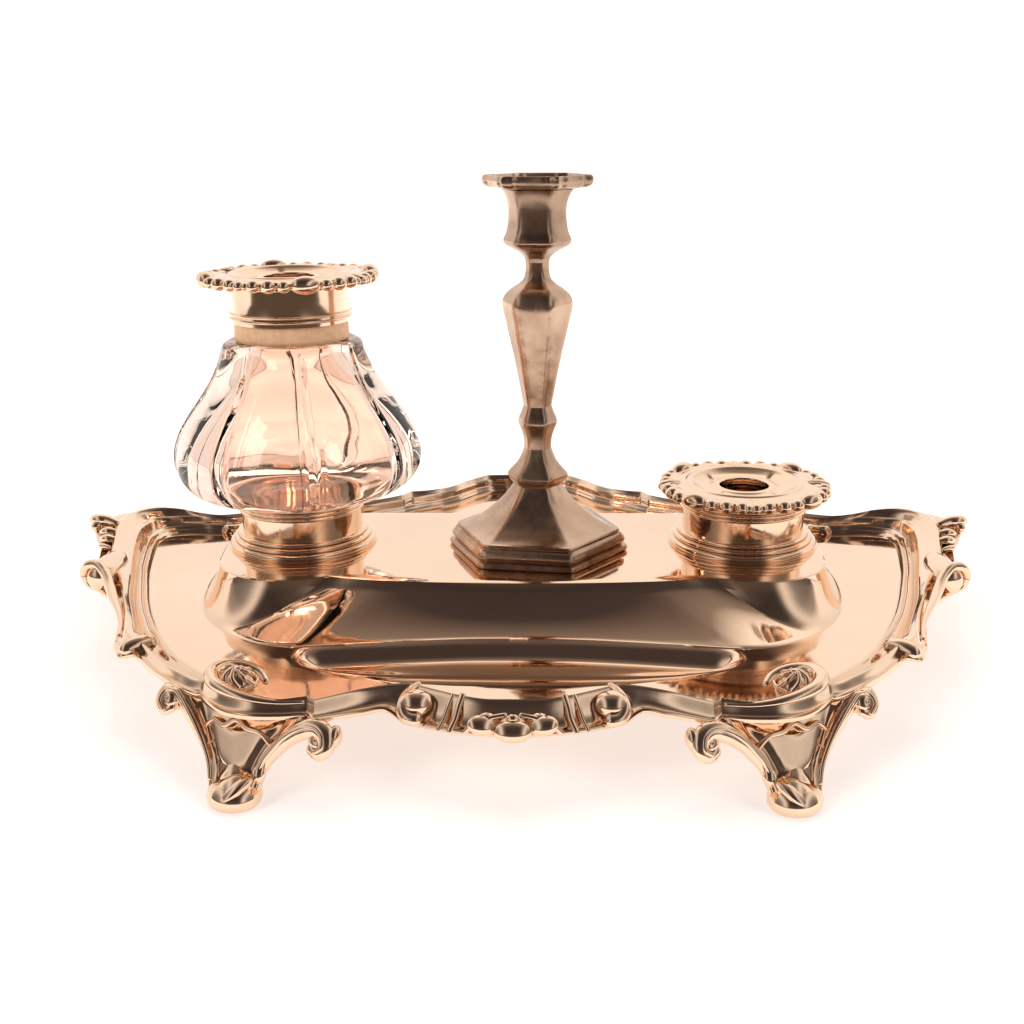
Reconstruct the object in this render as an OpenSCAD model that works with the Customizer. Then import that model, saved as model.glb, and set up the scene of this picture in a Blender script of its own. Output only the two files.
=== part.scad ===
// Silver inkstand: shaped tray on four scroll feet with a pen well, two bottle
// galleries, a cut glass ink bottle with its cover, a second cover and a
// removable hexagonal taperstick with a loose nozzle. Millimetres, +Z up,
// the front of the stand faces -Y, the feet stand on Z = 0.

/* [Tray] */
// Overall width over the leaf clusters
tray_w = 300; // [285:1:310]
// Thickness of the tray sheet
sheet_t = 1.2; // [0.8:0.1:1.6]
// Height of the top face of the tray floor
floor_z = 18.6; // [17.5:0.1:19.5]
// Height of the top bead of the border
border_z = 23.7; // [22.5:0.1:25]
// Height of the raised platform
platform_z = 30.8; // [28:0.1:32]
// Depth of the pen well below the floor
well_depth = 4.2; // [3:0.1:5]

/* [Feet] */
// Width of a toe
toe_w = 13.4; // [11:0.1:15]
// Outward lean of a foot panel in degrees
foot_lean = 33; // [28:1:36]

/* [Galleries] */
// Distance of each gallery from the middle of the tray
gal_x = 67.5; // [64:0.5:70]
// Position of the galleries front to back
gal_y = 5; // [2:0.5:8]
// Outer radius of the plain gallery wall
gal_r = 18.2; // [17.8:0.1:19]
// Wall thickness of the galleries
gal_t = 1; // [0.8:0.1:1.2]
// Height of a gallery above the platform
gal_h = 15.5; // [14:0.5:17]

/* [Ink bottle] */
// Largest radius of the glass
glass_r = 37.3; // [35:0.1:38.5]
// Height of the glass shoulder above the table
shoulder_z = 92.4; // [90:0.1:95]
// Radius of the mouth
mouth_r = 11; // [10.8:0.1:11.4]
// Outer radius of the silver collar
collar_r = 17.5; // [17.2:0.1:18]
// Height of the silver collar
collar_h = 12; // [10:0.5:13]

/* [Covers] */
// Radius of the cover over its largest beads
cover_r = 26.3; // [24.5:0.1:28]
// Radius of the dipping hole
dip_r = 7.4; // [6.5:0.1:8]
// Radius of the large beads
bead_r = 2.7; // [2.2:0.1:3]

/* [Taperstick] */
// Offset of the taperstick from the middle
stick_x = 5; // [0:0.5:8]
// Turn of the hexagon in degrees
stick_turn = -7.8; // [-30:0.1:30]
// Corner radius of the hexagonal plinth
plinth_r = 27.6; // [26:0.1:29]
// Radius of the candle hole
candle_r = 6; // [5.5:0.1:6.2]

/* [Hidden] */
$fn = 72;
stick_y = -0.5;
kx = tray_w / 300;
seat_z = platform_z + gal_h;            // top of the gallery rim
collar_z = shoulder_z + 5.2;            // underside of the silver collar
collar_top = collar_z + collar_h;       // seat of the left cover
silver = [0.93, 0.78, 0.64];

// Right half of the outer edge of the border, front middle to back middle
edge_half = [[0,-98.5],[13,-97],[21,-95.5],[27,-93.5],[30,-90.5],[36,-92],[43,-95.5],[47.5,-97.5],
  [49.5,-95],[56,-96],[62,-96],[68,-94.5],[73,-90],[80,-82.5],[87,-75],[94,-67.5],[98.5,-63],[101,-59.5],
  [104.5,-63],[107,-63.5],[108,-57],[109.5,-50],[112.5,-39],[116.5,-28.5],[121.5,-19],[126,-12],
  [131,-9.5],[135,-5],[136.5,2],[136,9],[134,15],[136,20],[140,26],[144,32],[147.5,39],[148.5,46],
  [146,52],[141.5,57],[138,61.5],[132.5,64],[127,61.5],[122,56.5],[112,53.5],[104,55],[98,58.5],
  [88,63],[78,66.5],[68,69.5],[57,73.5],[50,77.5],[45.5,80],[44,84.5],[36.5,86.5],[31,89],
  [27,93.5],[22,101.5],[17,107],[12,108],[0,108]];
// Right half of the top bead line of the border
bead_half = [[0,-92.5],[7.5,-92],[14,-90],[21,-86.5],[26,-84],[30.5,-85.5],[40,-89],[47,-94],[49.3,-92],
  [57,-94],[65,-93.5],[70,-90],[74,-84.5],[81,-78],[88,-72],[94,-64.5],[99.5,-56],[104.5,-58.5],
  [106.5,-50],[108.5,-38],[112,-27],[117,-17],[122,-9],[125,0],[127,10],[130,20],[136,30],[140,40],
  [138,50],[132,57],[124,55],[113,50],[104,52],[97,55.5],[87,60],[77,63.5],[67,66.5],[56,70.5],
  [49,74.5],[43,78],[41.5,82],[35,83.5],[28.5,86.5],[24.5,91],[19.5,99],[15,104],[11,105],[0,105]];
// Right half of the inner foot of the border
foot_half = [[0,-88.5],[7.5,-88],[13,-86],[20,-83],[26,-81],[32,-82.5],[41,-85.5],[48,-88.5],[57,-90],
  [63,-89.5],[67,-85],[72,-78],[79,-70.5],[86,-62.5],[93,-53.5],[98,-44.5],[103,-34],[109.5,-17.5],
  [114.5,0],[118.5,17],[121.5,35],[120,47],[112,48.5],[104,48],[96,51.5],[86,56],[76,59.5],[66,62.5],
  [55,66.5],[48,70.5],[41,74],[36,79],[29,83],[23.5,89],[18.5,96],[13,100.5],[0,101.5]];

function whole(half) = concat([for (p = half) [kx * p[0], p[1]]],
  [for (i = [len(half) - 2 : -1 : 1]) [-kx * half[i][0], half[i][1]]]);
module prism(pts, z0, z1) { translate([0, 0, z0]) linear_extrude(z1 - z0) polygon(pts); }

// Plan of the raised platform, smaller by d on every side
module platform_plan(d) {
  for (s = [-1, 1]) {
    translate([s * (gal_x - 0.5), -9]) circle(r = 30 - d);
    translate([s * gal_x, gal_y + 2]) circle(r = 26 - d);
  }
  difference() {
    translate([-gal_x + d, -39 + d]) square([2 * gal_x - 2 * d, 92 - 2 * d]);
    translate([0, -183.5]) circle(r = 151 + d, $fn = 180);
  }
}
// Side view of the platform: flat top in front, long slope down to the back
module platform_side(d) {
  rotate([90, 0, 90]) translate([0, 0, -100]) linear_extrude(200)
    polygon([[-60, floor_z - sheet_t - d], [-60, platform_z - d], [32, platform_z - d],
      [53 - d, floor_z - d], [53 - d, floor_z - sheet_t - d]]);
}
// Crescent plan of the pen well, smaller by d
module well_plan(d) {
  intersection() {
    difference() {
      translate([0, -205]) circle(r = 158 - d, $fn = 180);
      translate([0, -232]) circle(r = 158 + d, $fn = 180);
    }
    translate([-58 + d, -100]) square([116 - 2 * d, 70]);
  }
}

module tray() {
  color(silver) difference() {
    union() {
      prism(whole(bead_half), floor_z - sheet_t, floor_z);
      intersection() {
        translate([0, 0, floor_z - sheet_t]) linear_extrude(30) platform_plan(0);
        platform_side(0);
      }
      translate([0, 0, floor_z - well_depth - sheet_t]) linear_extrude(well_depth + sheet_t) well_plan(0);
    }
    intersection() {
      translate([0, 0, floor_z - sheet_t - 1]) linear_extrude(30) platform_plan(sheet_t);
      platform_side(sheet_t);
    }
    translate([0, 0, floor_z - well_depth]) linear_extrude(well_depth + 1) well_plan(sheet_t);
  }
}

// Whole border: sloping lip outside, bead inside, standing on the sheet
module border_ring() {
  difference() {
    union() {
      prism(whole(edge_half), floor_z, floor_z + 2.6);
      prism(whole(bead_half), floor_z, border_z);
    }
    prism(whole(foot_half), floor_z - 1, border_z + 1);
  }
}
function side_cut(s) = [[s * 40, -20], [s * 92, -43], [s * 101.2 * kx, -60.5], [s * 102, -90],
  [s * 170, -90], [s * 170, 90], [s * 127 * kx, 90], [s * 127 * kx, 61.5], [s * 117, 45], [s * 40, 30]];
module border_side(s) {
  color(silver) intersection() {
    border_ring();
    prism(side_cut(s), 0, 40);
  }
}
module border_end(s) {
  color(silver) difference() {
    intersection() {
      border_ring();
      translate([-170, s > 0 ? 0 : -120, 0]) cube([340, 120, 40]);
    }
    prism(side_cut(1), -1, 41);
    prism(side_cut(-1), -1, 41);
  }
}

// Three-lobed shell that hangs on the middle of the front lip
module front_shell() {
  color(silver) difference() {
    union() {
      for (x = [-5.6, 5.6]) translate([x, -99.6, 18.2]) sphere(r = 3.4);
      translate([0, -100.4, 17.8]) sphere(r = 4);
    }
    prism(whole(edge_half), floor_z - 0.001, floor_z + 8);
    prism(whole(bead_half), 0, floor_z);
  }
}

// Scroll rosette that stands on the border above each front foot
module corner_scroll(s) {
  color(silver) difference() {
    translate([s * 68 * kx, -83.5, floor_z]) cylinder(r = 6.4, h = 7.2);
    prism(concat([for (p = edge_half) [s * kx * p[0], p[1]]], [[0, 0]]), 0, floor_z);
    border_ring();
  }
}

// Leaf cluster at the rear of a side
module leaf(s) {
  color(silver) difference() {
    union() {
      translate([s * 147.4 * kx, 45.5, 22.4]) sphere(r = 2.6);
      translate([s * 145 * kx, 38, 22]) sphere(r = 2.6);
      translate([s * 140.5 * kx, 30, 21.4]) sphere(r = 2.6);
      translate([s * 131 * kx, -3, 20.6]) rotate([90, 0, 0]) cylinder(r = 4.8, h = 12, center = true);
    }
    border_ring();
    prism(whole(bead_half), 0, floor_z);
  }
}

// Outline of a foot panel in its own plane, u across and v down to the toe
foot_outline = [[-21,0],[-21,-3],[-17,-5],[-12,-9],[-9,-14],[-7.6,-19],[-6.9,-26],[6.9,-26],
  [7.4,-20],[8.6,-14],[11,-10],[14,-8.5],[17,-9],[19.5,-12],[22,-10.5],[22.5,-6],[21,-2],[19,0]];
module foot_panel() {
  rotate([90, 0, 0]) linear_extrude(4.4, center = true) polygon(foot_outline);
  translate([-20.5, 0, -4]) rotate([90, 0, 0]) cylinder(r = 3.4, h = 6, center = true);
  translate([20.5, 0, -9]) rotate([90, 0, 0]) cylinder(r = 3.6, h = 6, center = true);
}
// A foot at the given plan point, turned to face outwards; toe flat on the table
module foot(x, y, turn, tx, ty) {
  color(silver) intersection() {
    union() {
      translate([x, y, floor_z - sheet_t + 1]) rotate([0, 0, turn]) rotate([-foot_lean, 0, 0]) foot_panel();
      translate([tx, ty, 0]) cylinder(r = toe_w / 2, h = 5);
      translate([tx, ty, 5]) sphere(r = toe_w / 2);
    }
    translate([-200, -200, 0]) cube([400, 400, floor_z - sheet_t]);
  }
}

module gallery(s) {
  color(silver) translate([s * gal_x, gal_y, platform_z]) difference() {
    cylinder(r = gal_r, h = gal_h);
    translate([0, 0, -1]) cylinder(r = gal_r - gal_t, h = gal_h + 2);
  }
}
module gallery_base(s) {
  color(silver) translate([s * gal_x, gal_y, platform_z]) rotate_extrude() {
    polygon([[gal_r, 0], [gal_r + 3, 0], [gal_r + 2.4, 2.4], [gal_r + 1.5, 4], [gal_r, 5]]);
    translate([gal_r + 2.9, 1.1]) circle(r = 1.1, $fn = 32);
    translate([gal_r + 2.0, 2.9]) circle(r = 0.95, $fn = 32);
    translate([gal_r + 0.95, 4.5]) circle(r = 0.85, $fn = 32);
  }
}
module gallery_rim(s) {
  color(silver) translate([s * gal_x, gal_y, seat_z - 4.4]) rotate_extrude() difference() {
    union() {
      translate([gal_r, 0]) square([0.5, 4.4]);
      for (k = [0 : 2]) translate([gal_r + 0.4, 0.75 + 1.45 * k]) circle(r = 0.75, $fn = 32);
    }
    translate([gal_r - 3, -1]) square([3, 8]);
  }
}

// Outer profile of the glass as radius and height, foot to shoulder
glass_out = [[16.6,0],[16.6,15.8],[20.5,16],[26,16.6],[31.5,18.4],[35,21.4],[36.9,25],[37.3,28],
  [36.8,32],[35.2,36],[32.4,40.5],[29.2,45],[26.4,48.7],[24,53],[22.4,56.5],[21.2,59.6],[20.5,61.6],[16,62.8]];
glass_in = [[0,17.5],[18,17.8],[25,20],[28,24],[28.2,28],[26.5,33],[22,40],[17.5,47],[13.5,54],[11,59]];
module glass_bottle() {
  g = glass_r / 37.3;
  color([0.9, 0.88, 0.86, 0.4]) translate([-gal_x, gal_y, platform_z]) difference() {
    union() {
      rotate_extrude() polygon(concat([[0, 0]], [for (p = glass_out) [p[0] < 17 ? p[0] : p[0] * g, p[1]]], [[0, 62.8]]));
      translate([0, 0, 62]) cylinder(r = 14.8, h = collar_top - 1.4 - platform_z - 62);
    }
    rotate_extrude() polygon(concat(glass_in, [[mouth_r, 90], [0, 90]]));
  }
}
module neck_cement() {
  color([0.9, 0.82, 0.72]) translate([-gal_x, gal_y, platform_z + 62.8]) difference() {
    cylinder(r = 16.6, h = collar_top - 1.4 - platform_z - 62.8);
    translate([0, 0, -1]) cylinder(r = 14.8, h = 30);
  }
}
module neck_collar() {
  color(silver) translate([-gal_x, gal_y, collar_z]) difference() {
    union() {
      cylinder(r = collar_r, h = collar_h);
      for (z = [1.6, 3.2]) translate([0, 0, z]) rotate_extrude() translate([collar_r, 0]) circle(r = 0.4, $fn = 24);
    }
    translate([0, 0, -1]) cylinder(r = 16.6, h = collar_h - 0.4);
    translate([0, 0, -1]) cylinder(r = mouth_r + 0.2, h = collar_h + 2);
  }
}

// Dished cover plate with its dipping hole, resting at z0
module cover_plate(x, z0) {
  color(silver) translate([x, gal_y, z0]) difference() {
    rotate_extrude() polygon([[dip_r, 0.8], [9.2, 0.8], [9.2, 0], [17, 0], [20.6, 1.8], [20.6, 3.2],
      [17.8, 4.2], [16.6, 5.2], [15.4, 4.6], [12.4, 2.6], [9.2, 3.4], [dip_r, 2.8]]);
    translate([0, 0, -1]) cylinder(r = dip_r, h = 10);
  }
}
// Cast edge of a cover: four large beads, small beads between
module cover_border(x, z0, turn) {
  color(silver) translate([x, gal_y, z0 + 2.5]) rotate([0, 0, turn]) difference() {
    union() {
      translate([0, 0, -1.2]) cylinder(r = 23.4, h = 2.4);
      for (a = [0 : 90 : 270]) rotate([0, 0, a]) translate([cover_r - bead_r, 0, 0]) sphere(r = bead_r);
      for (a = [0 : 90 : 270]) for (b = [15, 24, 33, 45, 57, 66, 75])
        rotate([0, 0, a + b]) translate([23.2, 0, 0]) sphere(r = b == 45 ? 2 : 1.4);
    }
    translate([0, 0, -5]) cylinder(r = 20.6, h = 10);
  }
}
// Short sleeve that centres a cover in the mouth of its bottle
module cover_bezel(x, z0) {
  color(silver) translate([x, gal_y, z0 - 5]) difference() {
    cylinder(r = mouth_r - 0.3, h = 5);
    translate([0, 0, -1]) cylinder(r = mouth_r - 1.3, h = 7);
  }
}

// Hexagonal baluster between the listed [height, corner radius] stations
module hexes(st) {
  for (i = [0 : len(st) - 2]) translate([0, 0, st[i][0]])
    cylinder(r1 = st[i][1], r2 = st[i + 1][1], h = st[i + 1][0] - st[i][0], $fn = 6);
}
module on_stick() { translate([stick_x, stick_y, 0]) rotate([0, 0, stick_turn]) children(); }
sz = platform_z;
module stick_base_plate() {
  color([0.25, 0.35, 0.25]) on_stick() translate([0, 0, sz]) cylinder(r = plinth_r - 2.4, h = 1, $fn = 6);
}
module stick_plinth() {
  color(silver) on_stick() translate([0, 0, sz]) difference() {
    union() {
      cylinder(r = plinth_r, h = 2, $fn = 6);
      translate([0, 0, 2]) cylinder(r = plinth_r - 1.8, h = 1, $fn = 6);
      translate([0, 0, 3]) cylinder(r = plinth_r - 0.6, h = 2, $fn = 6);
      translate([0, 0, 5]) cylinder(r = plinth_r - 2.2, h = 1.8, $fn = 6);
    }
    translate([0, 0, -1]) cylinder(r = plinth_r - 2.4, h = 7, $fn = 6);
    translate([0, 0, -1]) cylinder(r = plinth_r - 4.4, h = 9, $fn = 6);
  }
}
foot_st = [[6.8, 24.2], [8.6, 19.6], [11, 15.6], [14, 12], [17, 9.4], [20, 7.4]];
module stick_foot() {
  color(silver) on_stick() translate([0, 0, sz]) difference() {
    hexes(foot_st);
    translate([0, 0, -1.3]) hexes([for (i = [0 : 4]) foot_st[i]]);
    cylinder(r = 1.6, h = 40);
  }
}
module stick_loading() {
  color([0.2, 0.17, 0.14]) on_stick() translate([0, 0, sz]) difference() {
    union() {
      translate([0, 0, 1]) cylinder(r = plinth_r - 2.4, h = 4.5, $fn = 6);
      translate([0, 0, -1.3]) hexes([for (i = [0 : 4]) foot_st[i]]);
    }
    translate([0, 0, 2]) cylinder(r = 1.6, h = 40);
  }
}
module stick_rod() {
  color([0.35, 0.33, 0.32]) on_stick() translate([0, 0, sz + 2]) cylinder(r = 1.6, h = 66);
}
module stick_part(st) {
  color(silver) on_stick() translate([0, 0, sz]) difference() {
    hexes(st);
    cylinder(r = 1.6, h = 68);
  }
}
module stick_collar() { stick_part([[20, 7.4], [22, 9.1], [23.6, 9.2], [26.5, 6.4], [31, 4.3]]); }
module stick_knop() { stick_part([[31, 4.3], [34.5, 4.6], [38.2, 5.9], [40, 5.9], [43.7, 4.4]]); }
module stick_stem() {
  stick_part([[43.7, 4.4], [54, 6.4], [64, 8.8], [72.6, 10.5], [75.5, 9.4], [78.5, 5.6], [82.2, 3.6], [85.6, 3.6]]);
}
module stick_socket() {
  color(silver) on_stick() translate([0, 0, sz]) difference() {
    hexes([[85.6, 3.6], [88, 5.6], [90.6, 10], [92.2, 10], [94.5, 9], [99.8, 8.7], [103.5, 9.3], [105.5, 10.5]]);
    translate([0, 0, 90]) cylinder(r = candle_r + 0.9, h = 30);
  }
}
// Loose nozzle: sleeve for the candle and a six-sided drip pan
module nozzle_sleeve() {
  color(silver) on_stick() translate([0, 0, sz + 90.4]) difference() {
    cylinder(r = candle_r + 0.6, h = 17.2);
    translate([0, 0, -1]) cylinder(r = candle_r, h = 20);
  }
}
module nozzle_pan() {
  color(silver) on_stick() translate([0, 0, sz + 105.5]) difference() {
    union() {
      cylinder(r = 11.5, h = 1.2, $fn = 6);
      translate([0, 0, 1.2]) cylinder(r = 15.4, h = 1.2, $fn = 6);
      translate([0, 0, 2.4]) cylinder(r = 14, h = 1.6, $fn = 6);
    }
    translate([0, 0, 2.1]) cylinder(r = 12.6, h = 5, $fn = 6);
    translate([0, 0, -1]) cylinder(r = candle_r + 0.6, h = 10);
  }
}

tray();
border_end(-1);  // border_front
border_end(1);  // border_back
border_side(-1);  // border_left
border_side(1);  // border_right
front_shell();
corner_scroll(-1);  // scroll_front_left
corner_scroll(1);  // scroll_front_right
leaf(-1);  // leaf_left
leaf(1);  // leaf_right
foot(-66, -88.5, -20, -66.5, -101.3);  // foot_front_left
foot(66, -88.5, 20, 66.5, -101.3);  // foot_front_right
foot(-82, 57, 200, -87, 71);  // foot_rear_left
foot(82, 57, 160, 87, 71);  // foot_rear_right
gallery(-1);  // gallery_left
gallery_base(-1);  // gallery_left_base
gallery_rim(-1);  // gallery_left_rim
gallery(1);  // gallery_right
gallery_base(1);  // gallery_right_base
gallery_rim(1);  // gallery_right_rim
glass_bottle();
neck_cement();
neck_collar();
cover_plate(-gal_x, collar_top);  // cover_left_plate
cover_border(-gal_x, collar_top, 0);  // cover_left_border
cover_bezel(-gal_x, collar_top);  // cover_left_bezel
cover_plate(gal_x, seat_z);  // cover_right_plate
cover_border(gal_x, seat_z, 45);  // cover_right_border
cover_bezel(gal_x, seat_z);  // cover_right_bezel
stick_base_plate();
stick_plinth();
stick_foot();
stick_loading();
stick_rod();
stick_collar();
stick_knop();
stick_stem();
stick_socket();
nozzle_sleeve();
nozzle_pan();
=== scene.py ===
# Silver inkstand: shaped tray on four scroll feet, glass bottle, taperstick and two dip covers.
import bpy, bmesh, math, random
import numpy as np
from mathutils import Vector, Matrix


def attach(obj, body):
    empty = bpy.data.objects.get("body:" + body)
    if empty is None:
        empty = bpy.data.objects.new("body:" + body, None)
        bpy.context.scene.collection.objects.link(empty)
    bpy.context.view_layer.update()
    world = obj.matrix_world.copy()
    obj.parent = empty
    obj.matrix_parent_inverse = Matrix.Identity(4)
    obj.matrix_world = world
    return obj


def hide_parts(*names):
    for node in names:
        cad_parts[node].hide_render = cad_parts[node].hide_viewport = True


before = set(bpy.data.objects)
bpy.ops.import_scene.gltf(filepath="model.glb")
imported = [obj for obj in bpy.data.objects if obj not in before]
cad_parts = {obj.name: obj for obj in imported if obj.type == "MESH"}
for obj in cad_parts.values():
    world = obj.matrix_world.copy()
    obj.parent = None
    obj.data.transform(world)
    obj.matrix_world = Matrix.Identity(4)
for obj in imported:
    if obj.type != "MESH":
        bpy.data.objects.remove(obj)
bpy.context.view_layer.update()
random.seed(7)
MM = 0.001

# ------------------------------------------------------------------ driving sizes (mm)
FLOOR = 18.6
TOPZ = 30.8
SHEET = 1.2
GX, GY = 67.5, 5.0
SX, SY, STURN = 5.0, -0.5, -7.8
COLLAR_Z, COLLAR_TOP = 97.6, 109.6
COVER_R_Z = 46.3


# ------------------------------------------------------------------ materials
def new_mat(name):
    m = bpy.data.materials.new(name)
    m.use_nodes = True
    nt = m.node_tree
    return m, nt, nt.nodes["Principled BSDF"]


def silver(name, rough=0.075, dent=0.10, dent_scale=38.0, scratch=0.03, tarnish_and_crevice_shade=0.55, lo=(0.92, 0.665, 0.48), hi=(0.97, 0.72, 0.53), tone=26.0):
    m, nt, b = new_mat(name)
    L = nt.links
    b.inputs["Metallic"].default_value = 1.0
    tc = nt.nodes.new("ShaderNodeTexCoord")
    # broad tone: a little warmer and cooler patches
    n1 = nt.nodes.new("ShaderNodeTexNoise")
    n1.inputs["Scale"].default_value = tone
    n1.inputs["Detail"].default_value = 3.0
    L.new(tc.outputs["Object"], n1.inputs["Vector"])
    cr = nt.nodes.new("ShaderNodeValToRGB")
    cr.color_ramp.elements[0].position = 0.3
    cr.color_ramp.elements[0].color = (*lo, 1)
    cr.color_ramp.elements[1].position = 0.7
    cr.color_ramp.elements[1].color = (*hi, 1)
    L.new(n1.outputs["Fac"], cr.inputs["Fac"])
    # tarnish together with painted shade: the base colour is darkened towards brown in hollows and crevices (found by
    # pointiness), standing in for the shade that falls there
    geo = nt.nodes.new("ShaderNodeNewGeometry")
    pr = nt.nodes.new("ShaderNodeValToRGB")
    pr.color_ramp.elements[0].position = 0.40
    pr.color_ramp.elements[0].color = (1 - tarnish_and_crevice_shade, 1 - tarnish_and_crevice_shade, 1 - tarnish_and_crevice_shade, 1)
    pr.color_ramp.elements[1].position = 0.485
    pr.color_ramp.elements[1].color = (1, 1, 1, 1)
    L.new(geo.outputs["Pointiness"], pr.inputs["Fac"])
    mx = nt.nodes.new("ShaderNodeMix")
    mx.data_type = "RGBA"
    mx.inputs["A"].default_value = (0.26, 0.16, 0.12, 1)
    L.new(pr.outputs["Color"], mx.inputs["Factor"])
    L.new(cr.outputs["Color"], mx.inputs["B"])
    L.new(mx.outputs["Result"], b.inputs["Base Color"])
    # roughness: polish with faint rubbed patches
    n2 = nt.nodes.new("ShaderNodeTexNoise")
    n2.inputs["Scale"].default_value = 90.0
    n2.inputs["Detail"].default_value = 5.0
    L.new(tc.outputs["Object"], n2.inputs["Vector"])
    mr = nt.nodes.new("ShaderNodeMapRange")
    mr.inputs["From Min"].default_value = 0.3
    mr.inputs["From Max"].default_value = 0.7
    mr.inputs["To Min"].default_value = rough * 0.6
    mr.inputs["To Max"].default_value = rough * 1.5
    L.new(n2.outputs["Fac"], mr.inputs["Value"])
    L.new(mr.outputs["Result"], b.inputs["Roughness"])
    # bump: shallow hammer and use dents, then hairline scratches
    n3 = nt.nodes.new("ShaderNodeTexNoise")
    n3.inputs["Scale"].default_value = dent_scale
    n3.inputs["Detail"].default_value = 1.5
    L.new(tc.outputs["Object"], n3.inputs["Vector"])
    b1 = nt.nodes.new("ShaderNodeBump")
    b1.inputs["Strength"].default_value = dent
    b1.inputs["Distance"].default_value = 0.0012
    L.new(n3.outputs["Fac"], b1.inputs["Height"])
    mp = nt.nodes.new("ShaderNodeMapping")
    mp.inputs["Rotation"].default_value = (0.2, 0.35, 0.6)
    mp.inputs["Scale"].default_value = (900.0, 40.0, 300.0)
    L.new(tc.outputs["Object"], mp.inputs["Vector"])
    n4 = nt.nodes.new("ShaderNodeTexNoise")
    n4.inputs["Scale"].default_value = 1.0
    n4.inputs["Detail"].default_value = 2.0
    L.new(mp.outputs["Vector"], n4.inputs["Vector"])
    b2 = nt.nodes.new("ShaderNodeBump")
    b2.inputs["Strength"].default_value = scratch
    b2.inputs["Distance"].default_value = 0.0002
    L.new(n4.outputs["Fac"], b2.inputs["Height"])
    L.new(b1.outputs["Normal"], b2.inputs["Normal"])
    L.new(b2.outputs["Normal"], b.inputs["Normal"])
    return m


def rough_mat(name, c0, c1, scale, rough, bump, bump_d=0.0003, metallic=0.0, detail=6.0):
    m, nt, b = new_mat(name)
    L = nt.links
    b.inputs["Metallic"].default_value = metallic
    tc = nt.nodes.new("ShaderNodeTexCoord")
    n = nt.nodes.new("ShaderNodeTexNoise")
    n.inputs["Scale"].default_value = scale
    n.inputs["Detail"].default_value = detail
    L.new(tc.outputs["Object"], n.inputs["Vector"])
    cr = nt.nodes.new("ShaderNodeValToRGB")
    cr.color_ramp.elements[0].position = 0.32
    cr.color_ramp.elements[0].color = (*c0, 1)
    cr.color_ramp.elements[1].position = 0.68
    cr.color_ramp.elements[1].color = (*c1, 1)
    L.new(n.outputs["Fac"], cr.inputs["Fac"])
    L.new(cr.outputs["Color"], b.inputs["Base Color"])
    mr = nt.nodes.new("ShaderNodeMapRange")
    mr.inputs["To Min"].default_value = max(0.02, rough - 0.12)
    mr.inputs["To Max"].default_value = min(1.0, rough + 0.12)
    L.new(n.outputs["Fac"], mr.inputs["Value"])
    L.new(mr.outputs["Result"], b.inputs["Roughness"])
    bp = nt.nodes.new("ShaderNodeBump")
    bp.inputs["Strength"].default_value = bump
    bp.inputs["Distance"].default_value = bump_d
    L.new(n.outputs["Fac"], bp.inputs["Height"])
    L.new(bp.outputs["Normal"], b.inputs["Normal"])
    return m


def glass_mat():
    m, nt, b = new_mat("ink_glass")
    L = nt.links
    b.inputs["Base Color"].default_value = (0.985, 0.79, 0.685, 1)
    b.inputs["Transmission Weight"].default_value = 1.0
    b.inputs["IOR"].default_value = 1.5
    tc = nt.nodes.new("ShaderNodeTexCoord")
    n = nt.nodes.new("ShaderNodeTexNoise")
    n.inputs["Scale"].default_value = 60.0
    n.inputs["Detail"].default_value = 2.0
    L.new(tc.outputs["Object"], n.inputs["Vector"])
    mr = nt.nodes.new("ShaderNodeMapRange")
    mr.inputs["To Min"].default_value = 0.0
    mr.inputs["To Max"].default_value = 0.03
    L.new(n.outputs["Fac"], mr.inputs["Value"])
    L.new(mr.outputs["Result"], b.inputs["Roughness"])
    bp = nt.nodes.new("ShaderNodeBump")
    bp.inputs["Strength"].default_value = 0.05
    bp.inputs["Distance"].default_value = 0.0008
    L.new(n.outputs["Fac"], bp.inputs["Height"])
    L.new(bp.outputs["Normal"], b.inputs["Normal"])
    return m


# the tarnish values below also set how dark the painted crevice shade is on each material
M_TRAY = silver("silver_tray", rough=0.055, dent=0.10, dent_scale=30.0, scratch=0.025, tarnish_and_crevice_shade=0.35)
M_BORD = silver("silver_border", rough=0.11, dent=0.10, dent_scale=120.0, tarnish_and_crevice_shade=0.6)
M_FINE = silver("silver_fittings", rough=0.10, dent=0.06, dent_scale=110.0, tarnish_and_crevice_shade=0.55)
M_STICK = silver("silver_stick", rough=0.27, dent=0.22, dent_scale=170.0, scratch=0.05, tarnish_and_crevice_shade=0.5, lo=(0.42, 0.28, 0.20), hi=(0.74, 0.52, 0.37), tone=55.0)
M_GLASS = glass_mat()
M_CEM = rough_mat("neck_plaster", (0.90, 0.52, 0.30), (1.0, 0.68, 0.42), 500.0, 0.6, 0.25)
M_BAIZE = rough_mat("green_baize", (0.012, 0.05, 0.03), (0.03, 0.11, 0.06), 1600.0, 0.95, 0.9)
M_PITCH = rough_mat("pitch", (0.015, 0.011, 0.008), (0.05, 0.035, 0.025), 300.0, 0.45, 0.5)
M_IRON = rough_mat("iron_rod", (0.06, 0.055, 0.05), (0.16, 0.10, 0.07), 500.0, 0.5, 0.5, metallic=1.0)


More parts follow.
